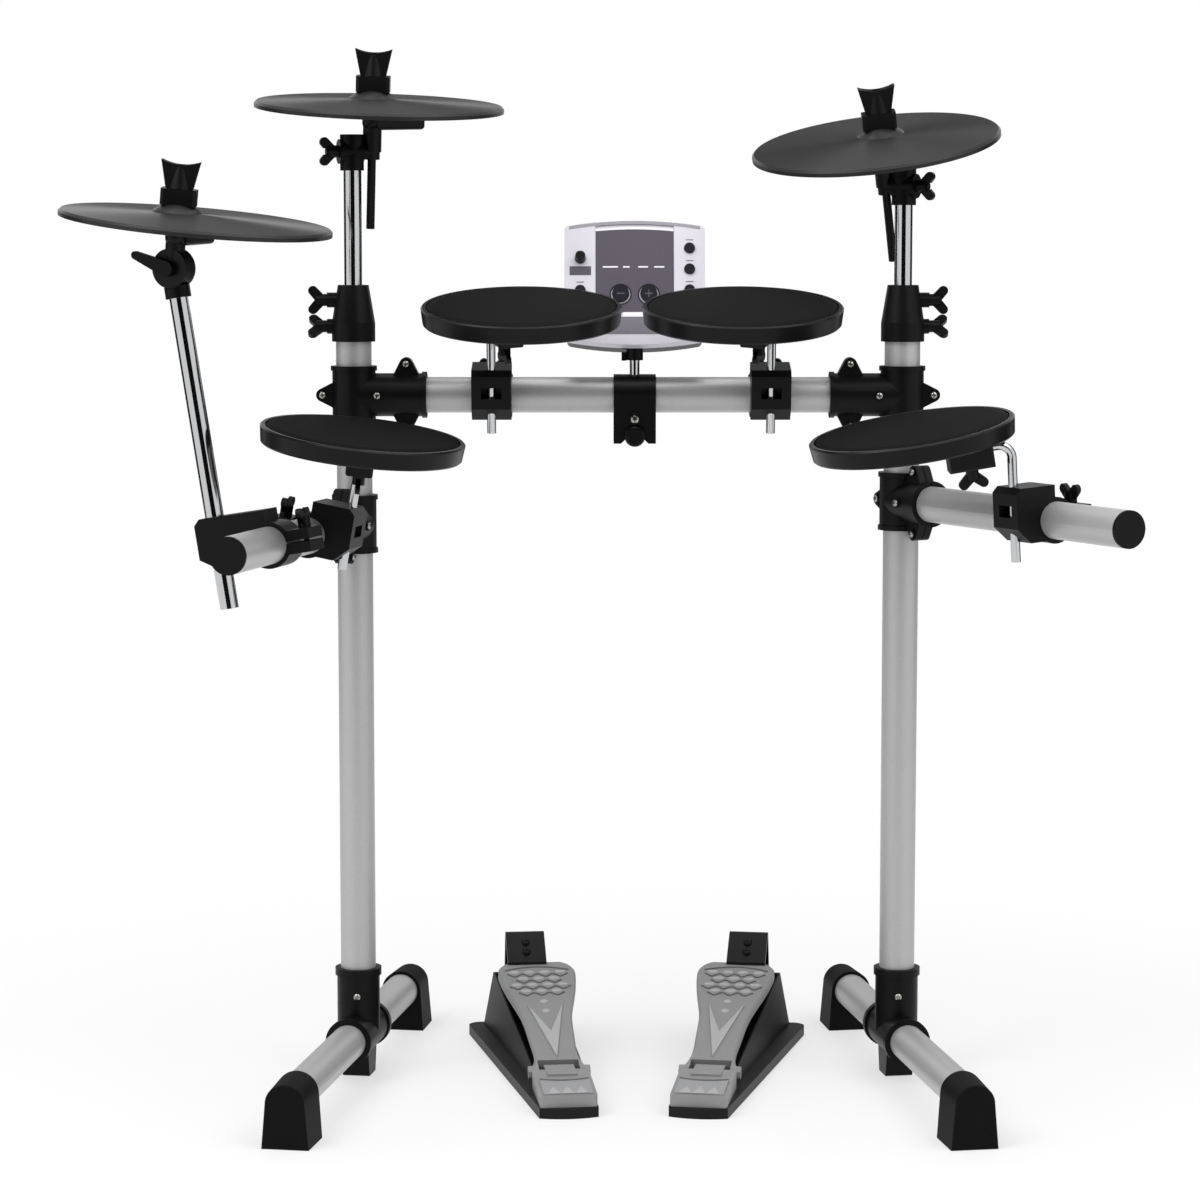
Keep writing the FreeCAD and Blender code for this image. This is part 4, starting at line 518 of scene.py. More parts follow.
def placement(x, y, z, origin):
    """Matrix with the given axes and origin."""
    matrix = Matrix((x, y, z)).transposed().to_4x4()
    matrix.translation = origin
    return matrix


def facing(point, way):
    """Matrix at a point with its Z along a direction."""
    matrix = way.to_track_quat("Z", "Y").to_matrix().to_4x4()
    matrix.translation = point
    return matrix


def flat_frame(node, towards, across, side=0, whole=False):
    """Matrix on a solid's outermost flat face that looks one way, with half its extent or the solid's."""
    mesh = frame["nodes"][node].data
    faces = [face for face in mesh.polygons
             if face.normal.dot(towards) > FACING_SHARE and on_side(face.center, side)]
    z = max(faces, key=lambda face: face.area).normal.copy()
    y = z.cross(across).normalized()
    x = y.cross(z)
    level = [face for face in faces if face.normal.dot(z) > PARALLEL_SHARE]
    height = max(face.center.dot(z) for face in level)
    outermost = [face for face in level if face.center.dot(z) > height - LEVEL_ROOM]
    corners = {number for face in outermost for number in face.vertices}
    points = [mesh.vertices[number].co for number in corners]
    if whole:
        points = [vertex.co for vertex in mesh.vertices if on_side(vertex.co, side)]
    low = Vector((min(point.dot(x) for point in points), min(point.dot(y) for point in points)))
    high = Vector((max(point.dot(x) for point in points), max(point.dot(y) for point in points)))
    middle = (low + high) / 2
    return placement(x, y, z, x * middle.x + y * middle.y + z * height), (high - low) / 2


def dress(slot_name, material):
    """Give a finish to every solid of a material slot."""
    for subpart in frame["record"]["subparts"]:
        if subpart["material_slot"] == slot_name:
            for slot in frame["nodes"][subpart["node"]].material_slots:
                slot.material = material


# Shapes


def turned(bm, profile, matrix, steps):
    """Turn a profile of radii and heights about Z."""
    rings = []
    for radius, height in profile:
        count = steps if radius else 1
        rings.append([])
        for step in range(count):
            angle = math.tau * step / count
            point = Vector((radius * math.cos(angle), radius * math.sin(angle), height))
            rings[-1].append(bm.verts.new(matrix @ point))
    for inner, outer in zip(rings, rings[1:]):
        for step in range(steps):
            corners = [ring[number % len(ring)] for ring, number in
                       ((inner, step), (inner, step + 1), (outer, step + 1), (outer, step))]
            bm.faces.new(list(dict.fromkeys(corners)))


def slab(bm, outline, low, high, matrix):
    """Flat piece with an outline, between two heights."""
    bottom = [bm.verts.new(matrix @ Vector((x, y, low))) for x, y in outline]
    top = [bm.verts.new(matrix @ Vector((x, y, high))) for x, y in outline]
    bm.faces.new(bottom[::-1])
    bm.faces.new(top)
    for number in range(len(outline)):
        after = (number + 1) % len(outline)
        bm.faces.new((bottom[number], bottom[after], top[after], top[number]))


def bar(bm, left, right, bottom, top, low, high, matrix):
    """Rectangular flat piece."""
    slab(bm, ((left, bottom), (right, bottom), (right, top), (left, top)), low, high, matrix)


def dome(radius, height):
    """Profile of a dome that stands on its rim."""
    angles = [math.pi / 2 * step / DOME_STEPS for step in range(DOME_STEPS + 1)]
    return [(radius * math.sin(angle), height * math.cos(angle)) for angle in angles] + [(0, 0)]


def ridge(bm, path, width, height, matrix):
    """Rounded ridge along a path of points on a flat face."""
    turns = [math.pi * step / RIDGE_STEPS for step in range(RIDGE_STEPS + 1)]
    shares = [(math.cos(turn), math.sin(turn)) for turn in turns]
    sections = []
    for x, y in path:
        sections.append([bm.verts.new(matrix @ Vector((x, y + across * width / 2, rise * height)))
                         for across, rise in shares])
    for first, second in zip(sections, sections[1:]):
        for number in range(len(shares)):
            after = (number + 1) % len(shares)
            bm.faces.new((first[number], first[after], second[after], second[number]))
    bm.faces.new(sections[0])
    bm.faces.new(sections[-1][::-1])


def carved(bm, cutter):
    """Shape with a cutter's room taken out of it."""
    bodies = []
    for source in (bm, cutter):
        bmesh.ops.recalc_face_normals(source, faces=source.faces)
        mesh = bpy.data.meshes.new("carving")
        source.to_mesh(mesh)
        source.free()
        bodies.append(bpy.data.objects.new("carving", mesh))
        bpy.context.scene.collection.objects.link(bodies[-1])
    knife = bodies[0].modifiers.new("carve", "BOOLEAN")
    knife.object = bodies[1]
    knife.operation = "DIFFERENCE"
    knife.solver = "EXACT"
    bpy.context.view_layer.update()
    shown = bodies[0].evaluated_get(bpy.context.evaluated_depsgraph_get())
    result = bmesh.new()
    result.from_mesh(shown.to_mesh())
    for body in bodies:
        bpy.data.objects.remove(body)
    return result


def new_piece(name, bm, material, body):
    """Object made from a shape, riding on a body."""
    bmesh.ops.recalc_face_normals(bm, faces=bm.faces)
    mesh = bpy.data.meshes.new(name)
    bm.to_mesh(mesh)
    bm.free()
    mesh.polygons.foreach_set("use_smooth", [True] * len(mesh.polygons))
    mesh.set_sharp_from_angle(angle=SMOOTH_ANGLE)
    mesh.materials.append(material)
    piece = bpy.data.objects.new(name, mesh)
    bpy.context.scene.collection.objects.link(piece)
    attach(piece, body)
    return piece


def pan_screw(rack, radius, height):
    """Pan head with a cross slot, standing on the origin."""
    head = bmesh.new()
    turned(head, dome(radius, height), Matrix(), ROUND_STEPS)
    reach, half = rack.slot_length / 2, rack.slot_width / 2
    for turn in (Matrix(), QUARTER_TURN):
        slot = bmesh.new()
        bar(slot, -reach, reach, -half, half, height - rack.slot_depth, height + rack.slot_depth, turn)
        head = carved(head, slot)
    mesh = bpy.data.meshes.new("pan_screw")
    head.to_mesh(mesh)
    head.free()
    return mesh


def repeated(mesh, places):
    """One shape with a copy of a mesh at each place."""
    bm = bmesh.new()
    for place in places:
        copy = mesh.copy()
        copy.transform(place)
        bm.from_mesh(copy)
        bpy.data.meshes.remove(copy)
    return bm


# Stage


def square(name, size_x, size_y, matrix):
    """Flat rectangle for the stage."""
    bm = bmesh.new()
    bmesh.ops.create_grid(bm, x_segments=1, y_segments=1, size=1 / 2)
    mesh = bpy.data.meshes.new(name)
    bm.to_mesh(mesh)
    bm.free()
    mesh.transform(matrix @ Matrix.Diagonal((size_x, size_y, 1, 1)))
    sheet = bpy.data.objects.new(name, mesh)
    bpy.context.scene.collection.objects.link(sheet)
    return sheet


def studio_floor(stage):
    finish = {"Base Color": (*stage.floor_colour, 1), "Roughness": 0.7, "Specular IOR Level": 0.2}
    material, tree, shader, place = new_finish("studio_floor", finish)
    span = add_node(tree, "ShaderNodeVectorMath", {"operation": "LENGTH"}, {"Vector": place})
    reach = {"interpolation_type": "SMOOTHSTEP", "From Min": stage.floor_near, "From Max": stage.floor_far,
             "To Min": stage.floor_glow}
    fade = add_node(tree, "ShaderNodeMapRange", reach, {"Value": span.outputs["Value"]})
    white = add_node(tree, "ShaderNodeEmission", {"Strength": 1.0})
    mix = add_node(tree, "ShaderNodeMixShader", {},
                   {"Fac": fade.outputs["Result"], 1: shader.outputs["BSDF"], 2: white.outputs["Emission"]})
    tree.links.new(mix.outputs["Shader"], tree.nodes["Material Output"].inputs["Surface"])
    return material


def white_backdrop(stage):
    """World that is white to the camera and in mirrors, and lights the rest softly."""
    world = bpy.data.worlds.new("white_backdrop")
    world.use_nodes = True
    tree = world.node_tree
    soft = tree.nodes["Background"]
    soft.inputs["Color"].default_value = (1, 1, 1, 1)
    soft.inputs["Strength"].default_value = stage.ambient
    white = add_node(tree, "ShaderNodeBackground", {"Color": (1, 1, 1, 1), "Strength": 1.0})
    rays = add_node(tree, "ShaderNodeLightPath").outputs
    seen = rays["Is Camera Ray"]
    for name in ("Is Glossy Ray", "Is Transmission Ray"):
        either = add_node(tree, "ShaderNodeMath", {"operation": "MAXIMUM"}, {0: seen, 1: rays[name]})
        seen = either.outputs["Value"]
    mix = add_node(tree, "ShaderNodeMixShader", {},
                   {"Fac": seen, 1: soft.outputs["Background"], 2: white.outputs["Background"]})
    tree.links.new(mix.outputs["Shader"], tree.nodes["World Output"].inputs["Surface"])
    bpy.context.scene.world = world


def soft_lamp(stage, name, place, target, watts):
    """Square lamp aimed at a point."""
    lamp = bpy.data.lights.new(name, "AREA")
    lamp.shape = "SQUARE"
    lamp.size = stage.lamp_size
    lamp.energy = watts
    holder = bpy.data.objects.new(name, lamp)
    holder.location = place
    holder.rotation_euler = (target - place).to_track_quat("-Z", "Y").to_euler()
    bpy.context.scene.collection.objects.link(holder)


def dark_cards(stage, middle):
    finish = {"Base Color": (*stage.card_colour, 1), "Roughness": 0.9, "Specular IOR Level": 0.0}
    material = new_finish("dark_card", finish)[0]
    tall = stage.card_height
    level = stage.camera_height
    back = stage.back_card_setback
    spots = [("front_card", (0, -stage.card_distance, level), stage.card_width, tall),
             ("high_card", (0, back, stage.high_card_height), stage.high_card_size, stage.high_card_size),
             ("low_card", (0, back, stage.low_card_height), stage.low_card_width, stage.low_card_size)]
    for side, name in zip(SIDES, ("left_card", "right_card")):
        spot = (side * stage.side_card_place, stage.side_card_setback, level)
        spots.append((name, spot, stage.side_card_width, tall))
    for name, spot, width, height in spots:
        way = Vector((-spot[0], -spot[1], 0))
        centre = Vector((middle.x, middle.y, 0)) + Vector(spot)
        card = square(name, width, height, facing(centre, way))
        card.data.materials.append(material)
        card.visible_camera = False
        card.visible_diffuse = False
        card.visible_shadow = False


def photo_camera(stage, middle):
    """Camera at the photograph's viewing angle."""
    lens = bpy.data.cameras.new("photo_camera")
    lens.lens = stage.lens
    lens.sensor_width = stage.sensor
    lens.sensor_fit = "HORIZONTAL"
    camera = bpy.data.objects.new("photo_camera", lens)
    camera.location = (middle.x + stage.camera_side, middle.y - stage.camera_distance, stage.camera_height)
    camera.rotation_euler = (math.pi / 2 - stage.camera_pitch, 0, 0)
    bpy.context.scene.collection.objects.link(camera)
    bpy.context.scene.camera = camera


class DRUMKIT_OT_stage(bpy.types.Operator):
    """Floor, lamps, backdrop and camera"""
    bl_idname = "drumkit.stage"
    bl_label = "Stage"

    def execute(self, context):
        stage = context.scene.drum_kit.stage
        context.scene.view_settings.view_transform = "Standard"
        middle = kit_middle()
        floor = square("floor", stage.floor_size, stage.floor_size, Matrix())
        floor.data.materials.append(studio_floor(stage))
        white_backdrop(stage)
        left = Vector((-stage.lamp_side, -stage.lamp_front, stage.lamp_height))
        right = Vector((stage.lamp_side, -stage.lamp_front, stage.lamp_height))
        soft_lamp(stage, "key_lamp", left, middle, stage.key_power)
        soft_lamp(stage, "fill_lamp", right, middle, stage.fill_power)
        soft_lamp(stage, "top_lamp", UP * stage.lamp_height, middle, stage.top_power)
        dark_cards(stage, middle)
        photo_camera(stage, middle)
        return {"FINISHED"}


# Rack


def tee_screw_seats(rack, post, out, front, reach):
    """Seats of the four screws of a tee clamp, on the side that faces front."""
    lug_root = post + out * (reach - rack.lug_setback)
    tips = [post - out * rack.lug_reach, lug_root + UP * rack.lug_reach, lug_root - UP * rack.lug_reach]
    seats = [facing(tip + front * rack.lug_face, front) for tip in tips]
    seats.append(facing(post + out * rack.middle_place + front * rack.middle_face, front))
    return seats


def post_axes():
    """Foot points of the two post axes and the tube's radius."""
    bar_low, bar_high = node_box("cross_bar")
    post_low, post_high = node_box("posts")
    radius = (bar_high.z - bar_low.z) / 2
    middle = (post_low.y + post_high.y) / 2
    return [Vector((post_low.x + radius, middle, 0)), Vector((post_high.x - radius, middle, 0))], radius


def tee_seats(rack):
    """Seats of the screws in front of the base tees."""
    posts, radius = post_axes()
    return [facing(post - AWAY * (radius + rack.tee_socket_wall) + UP * rack.tee_screw_height, -AWAY)
            for post in posts]


def clamp_screw_seats(rack):
    """Seats of the screws of all four tee clamps."""
    bar_low, bar_high = node_box("cross_bar")
    seats = []
    for side, post in zip(SIDES, post_axes()[0]):
        corner = post + UP * ((bar_low.z + bar_high.z) / 2)
        seats += tee_screw_seats(rack, corner, RIGHT * -side, -AWAY, rack.corner_reach)
        vertices = frame["nodes"]["arm_end_caps"].data.vertices
        caps = [vertex.co for vertex in vertices if on_side(vertex.co, side)]
        end = sum(caps, Vector()) / len(caps)
        way = Vector((end.x - post.x, end.y - post.y, 0)).normalized()
        inner = UP.cross(way) * -side
        seats += tee_screw_seats(rack, post + UP * end.z, way, inner, rack.arm_reach)
    return seats


class DRUMKIT_OT_rack(bpy.types.Operator):
    """Finishes of the tubes and clamps, and their screws"""
    bl_idname = "drumkit.rack"
    bl_label = "Rack"

    def execute(self, context):
        rack = context.scene.drum_kit.rack
        dress("rack_tube", powder_coated_tube(rack.tube_colour))
        dress("black_nylon", moulded_nylon(rack.nylon_colour))
        dress("foot_rubber", moulded_foot_rubber(rack.foot_colour))
        dress("chrome_rod", plated_chrome(rack.chrome_colour))
        dress("black_steel", coated_black_steel(rack.steel_colour))
        dress("steel_pin", blackened_steel(rack.pin_colour))
        zinc = zinc_plated_steel(rack.zinc_colour)
        screw = pan_screw(rack, rack.screw_radius, rack.screw_height)
        new_piece("clamp_screws", repeated(screw, clamp_screw_seats(rack)), zinc, "rack")
        screw = pan_screw(rack, rack.tee_screw_radius, rack.screw_height)
        new_piece("tee_screws", repeated(screw, tee_seats(rack)), zinc, "rack")
        strap_low, strap_high = node_box("module_strap")
        bar_low, bar_high = node_box("cross_bar")
        axis = (bar_low + bar_high) / 2
        seat = Vector(((strap_low.x + strap_high.x) / 2, axis.y - rack.strap_face,
                       axis.z - rack.strap_screw_drop))
        screw = pan_screw(rack, rack.strap_screw_radius, rack.strap_screw_height)
        new_piece("strap_screw", repeated(screw, [facing(seat, -AWAY)]), zinc, "rack")
        return {"FINISHED"}


# Pads


def head_profile(pads, radius):
    """Profile of a rubber head with its top at zero: a flat middle, a soft shoulder and a rounded rim."""
    inner = radius - pads.shoulder_width
    profile = [(0, 0)]
    for share in SHOULDER_SHARES:
        drop = pads.shoulder_drop * (1 - math.cos(math.pi / 2 * share))
        profile.append((inner + (pads.shoulder_width - pads.edge_radius) * share, -drop))
    for turn in RIM_TURNS:
        profile.append((radius - pads.edge_radius + pads.edge_radius * math.sin(turn),
                        -pads.shoulder_drop - pads.edge_radius * (1 - math.cos(turn))))
    profile.append((radius, -pads.head_thickness))
    profile.append((0, -pads.head_thickness))
    return profile


class DRUMKIT_OT_drum_pads(bpy.types.Operator):
    """Rubber heads and shells of the drum pads"""
    bl_idname = "drumkit.drum_pads"
    bl_label = "Drum pads"

    def execute(self, context):
        pads = context.scene.drum_kit.pads
        rubber = moulded_pad_rubber(pads.rubber_colour)
        dress("pad_rubber", rubber)
        dress("black_abs", polished_black_abs(pads.shell_colour))
        for pad in DRUM_PADS:
            across = Vector(joints[pad + "_tilt"]["axis"])
            matrix, half = flat_frame(pad + "_head", UP, across, whole=True)
            bm = bmesh.new()
            turned(bm, head_profile(pads, half.x), matrix, pads.steps)
            head = new_piece(pad + "_rubber_head", bm, rubber, pad)
            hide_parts(pad + "_head")
        return {"FINISHED"}


class DRUMKIT_OT_cymbals(bpy.types.Operator):
    """Rubber tops of the cymbals"""
    bl_idname = "drumkit.cymbals"
    bl_label = "Cymbals"

    def execute(self, context):
        pads = context.scene.drum_kit.pads
        for cymbal in CYMBALS:
            low, high = node_box(cymbal + "_pad")
            axis = Vector(joints[cymbal + "_nut_turn"]["axis"])
            rubber = moulded_cymbal_rubber(cymbal + "_rubber", pads.cymbal_colour, (low + high) / 2, axis)
            for slot in frame["nodes"][cymbal + "_pad"].material_slots:
                slot.material = rubber
        return {"FINISHED"}


# Module


def arched(module, half_width, top, bottom, case_half_width):
    """Outline with a straight foot and a top edge that follows the module's arch."""
    outline = [(-half_width, bottom), (half_width, bottom)]
    for step in range(ARCH_STEPS + 1):
        x = half_width - 2 * half_width * step / ARCH_STEPS
        outline.append((x, top - module.arch * (x / case_half_width) ** 2))
    return outline


def button_centre(node, matrix):
    """Middle of a button in the coordinates of the module's face."""
    low, high = node_box(node)
    return matrix.inverted() @ ((low + high) / 2)


def button_spot(node, matrix):
    """Matrix on the module's face in front of a button's middle."""
    middle = button_centre(node, matrix)
    return matrix @ Matrix.Translation((middle.x, middle.y, 0))


def button_radius(node):
    """Radius of a button's flange."""
    low, high = node_box(node)
    return (high.x - low.x) / 2


def panel_with_holes(module, matrix, half):
    """Panel between the strips, open round the two big buttons."""
    panel = bmesh.new()
    low = -module.strip_rise
    outline = arched(module, module.panel_half_width, half.y - module.panel_top,
                     half.y - module.panel_bottom, half.x)
    slab(panel, outline, low, low + module.panel_thickness, matrix)
    for node in BIG_BUTTONS:
        cutter = bmesh.new()
        reach = button_radius(node) + module.hole_gap
        profile = ((0, -reach), (reach, -reach), (reach, reach), (0, reach))
        turned(cutter, profile, button_spot(node, matrix), HOLE_STEPS)
        panel = carved(panel, cutter)
    return panel


def panel_print(module, matrix, half):
    """White line, labels and bar printed on the panel."""
    bm = bmesh.new()
    face = module.panel_thickness - module.strip_rise
    ink = face + module.ink_thickness
    top = half.y - module.panel_top
    line = arched(module, module.panel_half_width, top + module.line_width, top, half.x)
    foot = [(x, y - module.line_width) for x, y in line[2:]]
    slab(bm, line[2:] + foot[::-1], -module.strip_rise, ink, matrix)
    width = module.panel_half_width
    label = half.y - module.label_top
    for start_share, end_share in LABEL_SHARES:
        bar(bm, width * start_share, width * end_share, label - module.label_height, label,
            face, ink, matrix)
    bar(bm, -module.bar_half_width, module.bar_half_width, half.y - module.bar_bottom,
        half.y - module.panel_bottom, -module.strip_rise, ink, matrix)
    return bm


def button_shadow_rings(module, matrix):
    """Dark rings round the two big buttons, a painted shadow of the gap between each button and the panel."""
    bm = bmesh.new()
    foot = -module.strip_rise
    face = foot + module.panel_thickness
    top = face + module.ink_thickness
    for node in BIG_BUTTONS:
        inner = button_radius(node) + module.hole_gap
        outer = inner + module.shadow_ring_width
        profile = ((inner, foot), (inner, top), (outer, top), (outer, face), (inner, foot))
        turned(bm, profile, button_spot(node, matrix), HOLE_STEPS)
    return bm


def strip_marks(module, matrix, half):
    """Dark plate below the knob and small plain marks over the buttons of the side strips."""
    bm = bmesh.new()
    plate = button_centre("volume_knob", matrix).x
    top = half.y - module.plate_top
    reach = module.plate_width / 2
    bar(bm, plate - reach, plate + reach, top - module.plate_height, top, 0, module.ink_thickness, matrix)
    reach = module.tick_width / 2
    for node in SMALL_BUTTONS:
        middle = button_centre(node, matrix)
        foot = middle.y + button_radius(node) + module.tick_gap
        bar(bm, middle.x - reach, middle.x + reach, foot, foot + module.tick_height,
            0, module.ink_thickness, matrix)
    return bm


def module_crest(module, matrix, half):
    """Darker band along the module's arched top edge."""
    bm = bmesh.new()
    top = half.y - module.crest_margin
    edge = arched(module, module.crest_half_width, top, top - module.crest_height, half.x)[2:]
    foot = [(x, y - module.crest_height) for x, y in edge]
    slab(bm, edge + foot[::-1], -module.strip_rise, module.ink_thickness, matrix)
    return bm


def sign(module, node, matrix, upright):
    """Plus or minus sign on the face of a button."""
    bm = bmesh.new()
    mesh = frame["nodes"][node].data
    to_face = matrix.inverted()
    top = max((to_face @ vertex.co).z for vertex in mesh.vertices)
    half = module.sign_width / 2
    ink = top + module.ink_thickness
    reach = module.sign_reach
    spot = button_spot(node, matrix)
    bar(bm, -reach, reach, -half, half, top, ink, spot)
    if upright:
        bar(bm, -half, half, half, reach, top, ink, spot)
        bar(bm, -half, half, -reach, -half, top, ink, spot)
    return bm


class DRUMKIT_OT_module(bpy.types.Operator):
    """Face, print and buttons of the sound module"""
    bl_idname = "drumkit.module"
    bl_label = "Sound module"

    def execute(self, context):
        module = context.scene.drum_kit.module
        dress("module_silver", painted_silver_abs("painted_silver_abs", module.case_colour))
        black = silicone_button(module.button_colour)
        dress("button_black", black)
        matrix, half = flat_frame("module_front", -AWAY, RIGHT, whole=True)
        panel = printed_panel("printed_panel", module.panel_colour)
        chin = printed_panel("printed_chin", module.chin_colour)
        white = screen_print("white_print", module.ink_colour)
        grey = screen_print("grey_print", module.mark_colour)
        new_piece("module_panel", panel_with_holes(module, matrix, half), panel, "module")
        new_piece("module_print", panel_print(module, matrix, half), white, "module")
        bm = bmesh.new()
        width = module.panel_half_width
        bar(bm, -width, width, half.y - module.chin_bottom, half.y - module.bar_bottom, -module.strip_rise,
            module.panel_thickness - module.strip_rise, matrix)
        new_piece("module_chin", bm, chin, "module")
        crest = painted_silver_abs("painted_crest", module.crest_colour)
        new_piece("module_crest", module_crest(module, matrix, half), crest, "module")
        new_piece("module_marks", strip_marks(module, matrix, half), grey, "module")
        # Painted shadow in the gaps round the big buttons
        new_piece("module_shadow_rings", button_shadow_rings(module, matrix), black, "module")
        for node, upright in zip(BIG_BUTTONS, (False, True)):
            print_on_button = sign(module, node, matrix, upright)
            new_piece(node + "_sign", print_on_button, grey, node + "_body")
        return {"FINISHED"}


# Pedals


def grip_row(pedals, toe, row):
    """Count, distance from the board's middle and first place of a row of grips."""
    count = GRIP_COUNT - row % 2
    return count, toe - pedals.grip_start - row * pedals.grip_spacing, -(count - 1) / 2 * pedals.grip_pitch


def board_grips(pedals, matrix, toe):
    """Rows of lens-shaped grips and two studs."""
    bm = bmesh.new()
    oval = Matrix.Diagonal((pedals.grip_length, pedals.grip_width, 1, 1))
    for row in range(GRIP_ROWS):
        count, y, start = grip_row(pedals, toe, row)
        for number in range(count):
            spot = Matrix.Translation((start + number * pedals.grip_pitch, y, 0))
            turned(bm, dome(1, pedals.grip_height), matrix @ spot @ oval, ROUND_STEPS)
    for number in range(STUD_COUNT):
        y = toe - pedals.stud_start - number * pedals.stud_spacing
        spot = matrix @ Matrix.Translation((0, y, 0))
        turned(bm, dome(pedals.stud_radius, pedals.grip_height), spot, ROUND_STEPS)
    return bm


def board_lines(pedals, matrix, toe):
    """Curved line across the toe and wavy ridges between the rows of grips, drawn in the darker grey as painted
    shade in the grooves.
    """
    bm = bmesh.new()
    for row in range(GRIP_ROWS):
        count, y, start = grip_row(pedals, toe, row)
        steps = WAVE_STEPS * count
        reach = pedals.grip_pitch * count / 2
        path = []
        for step in range(steps + 1):
            x = 2 * reach * step / steps - reach
            swing = math.cos(math.tau * (x - start) / pedals.grip_pitch)
            path.append((x, y - pedals.grip_spacing / 2 - pedals.wave_reach * swing))
        ridge(bm, path, pedals.wave_width, pedals.wave_height, matrix)
    path = []
    for step in range(TOE_STEPS + 1):
        share = 2 * step / TOE_STEPS - 1
        sag = pedals.toe_line_sag * share ** 2
        path.append((pedals.toe_line_reach * share, toe - pedals.toe_line_start - sag))
    ridge(bm, path, pedals.wave_width, pedals.wave_height, matrix)
    return bm


def board_chevron(pedals, matrix, toe):
    """Raised arrow along the middle of a board."""
    bm = bmesh.new()
    open_end = toe - pedals.chevron_top
    half = pedals.chevron_half_width
    outline = ((-half, open_end), (0, toe - pedals.chevron_inner_tip), (half, open_end),
               (0, toe - pedals.chevron_tip))
    slab(bm, outline, 0, pedals.chevron_height, matrix)
    return bm


def heel_arc(pedals, half):
    """Points of the sagging line across the heel, from right to left."""
    side = half.x - pedals.heel_pad_margin
    rear = pedals.heel_pad_rear - half.y
    points = []
    for step in range(HEEL_STEPS + 1):
        x = side - 2 * side * step / HEEL_STEPS
        points.append((x, rear - pedals.heel_arc_drop * (1 - (x / side) ** 2)))
    return points


def heel_pad(pedals, matrix, half):
    """Raised pad on the heel with a sagging rear edge."""
    bm = bmesh.new()
    side = half.x - pedals.heel_pad_margin
    front = pedals.heel_pad_margin - half.y
    slab(bm, [(-side, front), (side, front)] + heel_arc(pedals, half), 0, pedals.heel_pad_height, matrix)
    return bm


def heel_shade_line(pedals, matrix, half):
    """Ridge along the heel pad's rear edge, drawn in the darker grey as painted shadow of the pad's step."""
    bm = bmesh.new()
    height = pedals.heel_pad_height + pedals.wave_height
    ridge(bm, heel_arc(pedals, half), pedals.wave_width, height, matrix)
    return bm


def heel_wedges(pedals, matrix, half):
    """Three wedges on the front of the heel pad."""
    bm = bmesh.new()
    foot = pedals.heel_pad_margin - half.y
    reach = pedals.wedge_half_width
    for place in (-pedals.wedge_pitch, 0, pedals.wedge_pitch):
        wedge = ((place - reach, foot), (place + reach, foot), (place, foot + pedals.wedge_length))
        slab(bm, wedge, pedals.heel_pad_height / 2, pedals.heel_pad_height + pedals.wave_height / 2, matrix)
    return bm


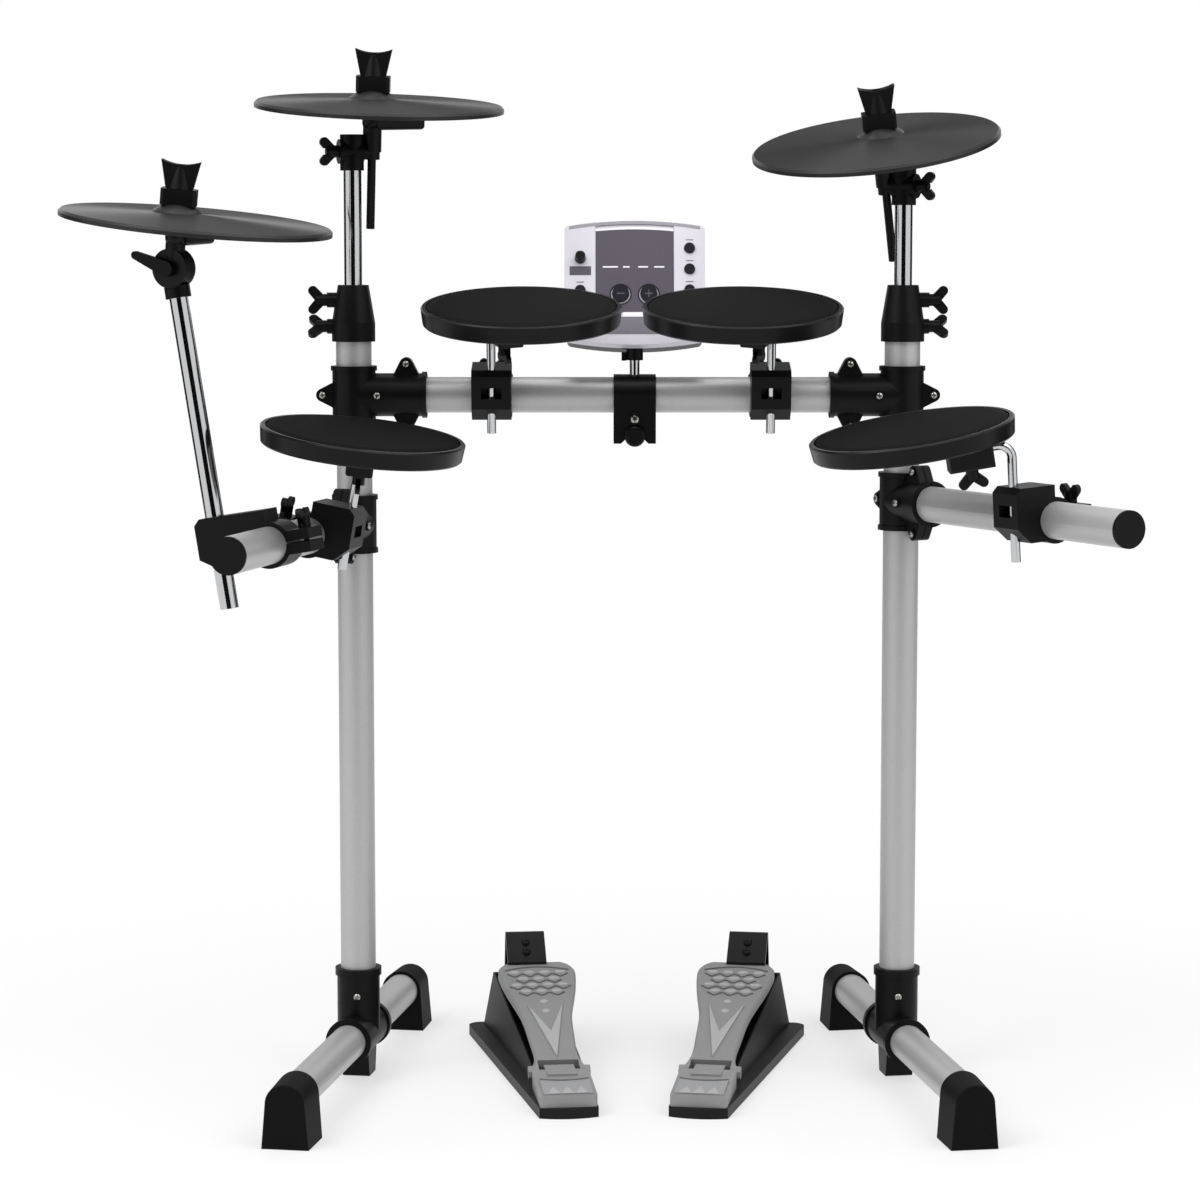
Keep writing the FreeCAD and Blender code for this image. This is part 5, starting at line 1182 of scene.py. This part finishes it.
class DRUMKIT_OT_pedals(bpy.types.Operator):
    """Grips, reliefs and screws of the pedals"""
    bl_idname = "drumkit.pedals"
    bl_label = "Pedals"

    def execute(self, context):
        pedals = context.scene.drum_kit.pedals
        rack = context.scene.drum_kit.rack
        grey = moulded_grey_abs("moulded_grey_abs", pedals.board_colour)
        # Paler copy of the board grey: painted highlight on the raised grips, chevron and heel wedges
        pale = moulded_grey_abs("painted_highlight_grey_abs", pedals.relief_highlight_colour)
        soft = moulded_grey_abs("heel_grey_abs", pedals.heel_colour)
        # Darker copy of the board grey: painted shade in the grooves and behind the heel pad
        dark = moulded_grey_abs("painted_shade_grey_abs", pedals.line_shade_colour)
        dress("pedal_grey", grey)
        dress("pedal_dark", moulded_dark_abs(pedals.base_colour))
        steel = frame["nodes"]["pedal_brackets"].material_slots[0].material
        screw = pan_screw(rack, pedals.bracket_screw_radius, pedals.bracket_screw_height)
        seats = []
        for side, board in zip(SIDES, ("hihat_board", "kick_board")):
            across = Vector(joints[board + "_press"]["axis"])
            matrix, half = flat_frame(board, UP, across)
            body = board + "_body"
            new_piece(board + "_grips", board_grips(pedals, matrix, half.y), pale, body)
            new_piece(board + "_lines", board_lines(pedals, matrix, half.y), dark, body)
            new_piece(board + "_chevron", board_chevron(pedals, matrix, half.y), pale, body)
            matrix, half = flat_frame("pedal_heels", UP, across, side)
            new_piece(board + "_heel_pad", heel_pad(pedals, matrix, half), soft, "rack")
            new_piece(board + "_heel_shade_line", heel_shade_line(pedals, matrix, half), dark, "rack")
            new_piece(board + "_heel_wedges", heel_wedges(pedals, matrix, half), pale, "rack")
            matrix, half = flat_frame("pedal_brackets", (UP - AWAY).normalized(), across, side)
            for step in SIDES:
                seats.append(matrix @ Matrix.Translation((0, step * pedals.bracket_screw_spacing / 2, 0)))
        new_piece("bracket_screws", repeated(screw, seats), steel, "rack")
        return {"FINISHED"}


OPERATORS = (DRUMKIT_OT_stage, DRUMKIT_OT_rack, DRUMKIT_OT_drum_pads, DRUMKIT_OT_cymbals, DRUMKIT_OT_module,
             DRUMKIT_OT_pedals)


class DRUMKIT_PT_looks(bpy.types.Panel):
    bl_idname = "DRUMKIT_PT_looks"
    bl_label = "Drum kit"
    bl_space_type = "VIEW_3D"
    bl_region_type = "UI"
    bl_category = "Drum kit"

    def draw(self, context):
        for operator in OPERATORS:
            self.layout.operator(operator.bl_idname)


CLASSES = (StageSettings, RackSettings, PadSettings, ModuleSettings, PedalSettings, DrumKitSettings,
           *OPERATORS, DRUMKIT_PT_looks)


def register():
    for item in CLASSES:
        bpy.utils.register_class(item)
    bpy.types.Scene.drum_kit = PointerProperty(type=DrumKitSettings)


def unregister():
    del bpy.types.Scene.drum_kit
    for item in reversed(CLASSES):
        bpy.utils.unregister_class(item)


def main():
    register()
    bpy.ops.drumkit.stage()
    bpy.ops.drumkit.rack()
    bpy.ops.drumkit.drum_pads()
    bpy.ops.drumkit.cymbals()
    bpy.ops.drumkit.module()
    bpy.ops.drumkit.pedals()


if __name__ == "__main__":
    main()
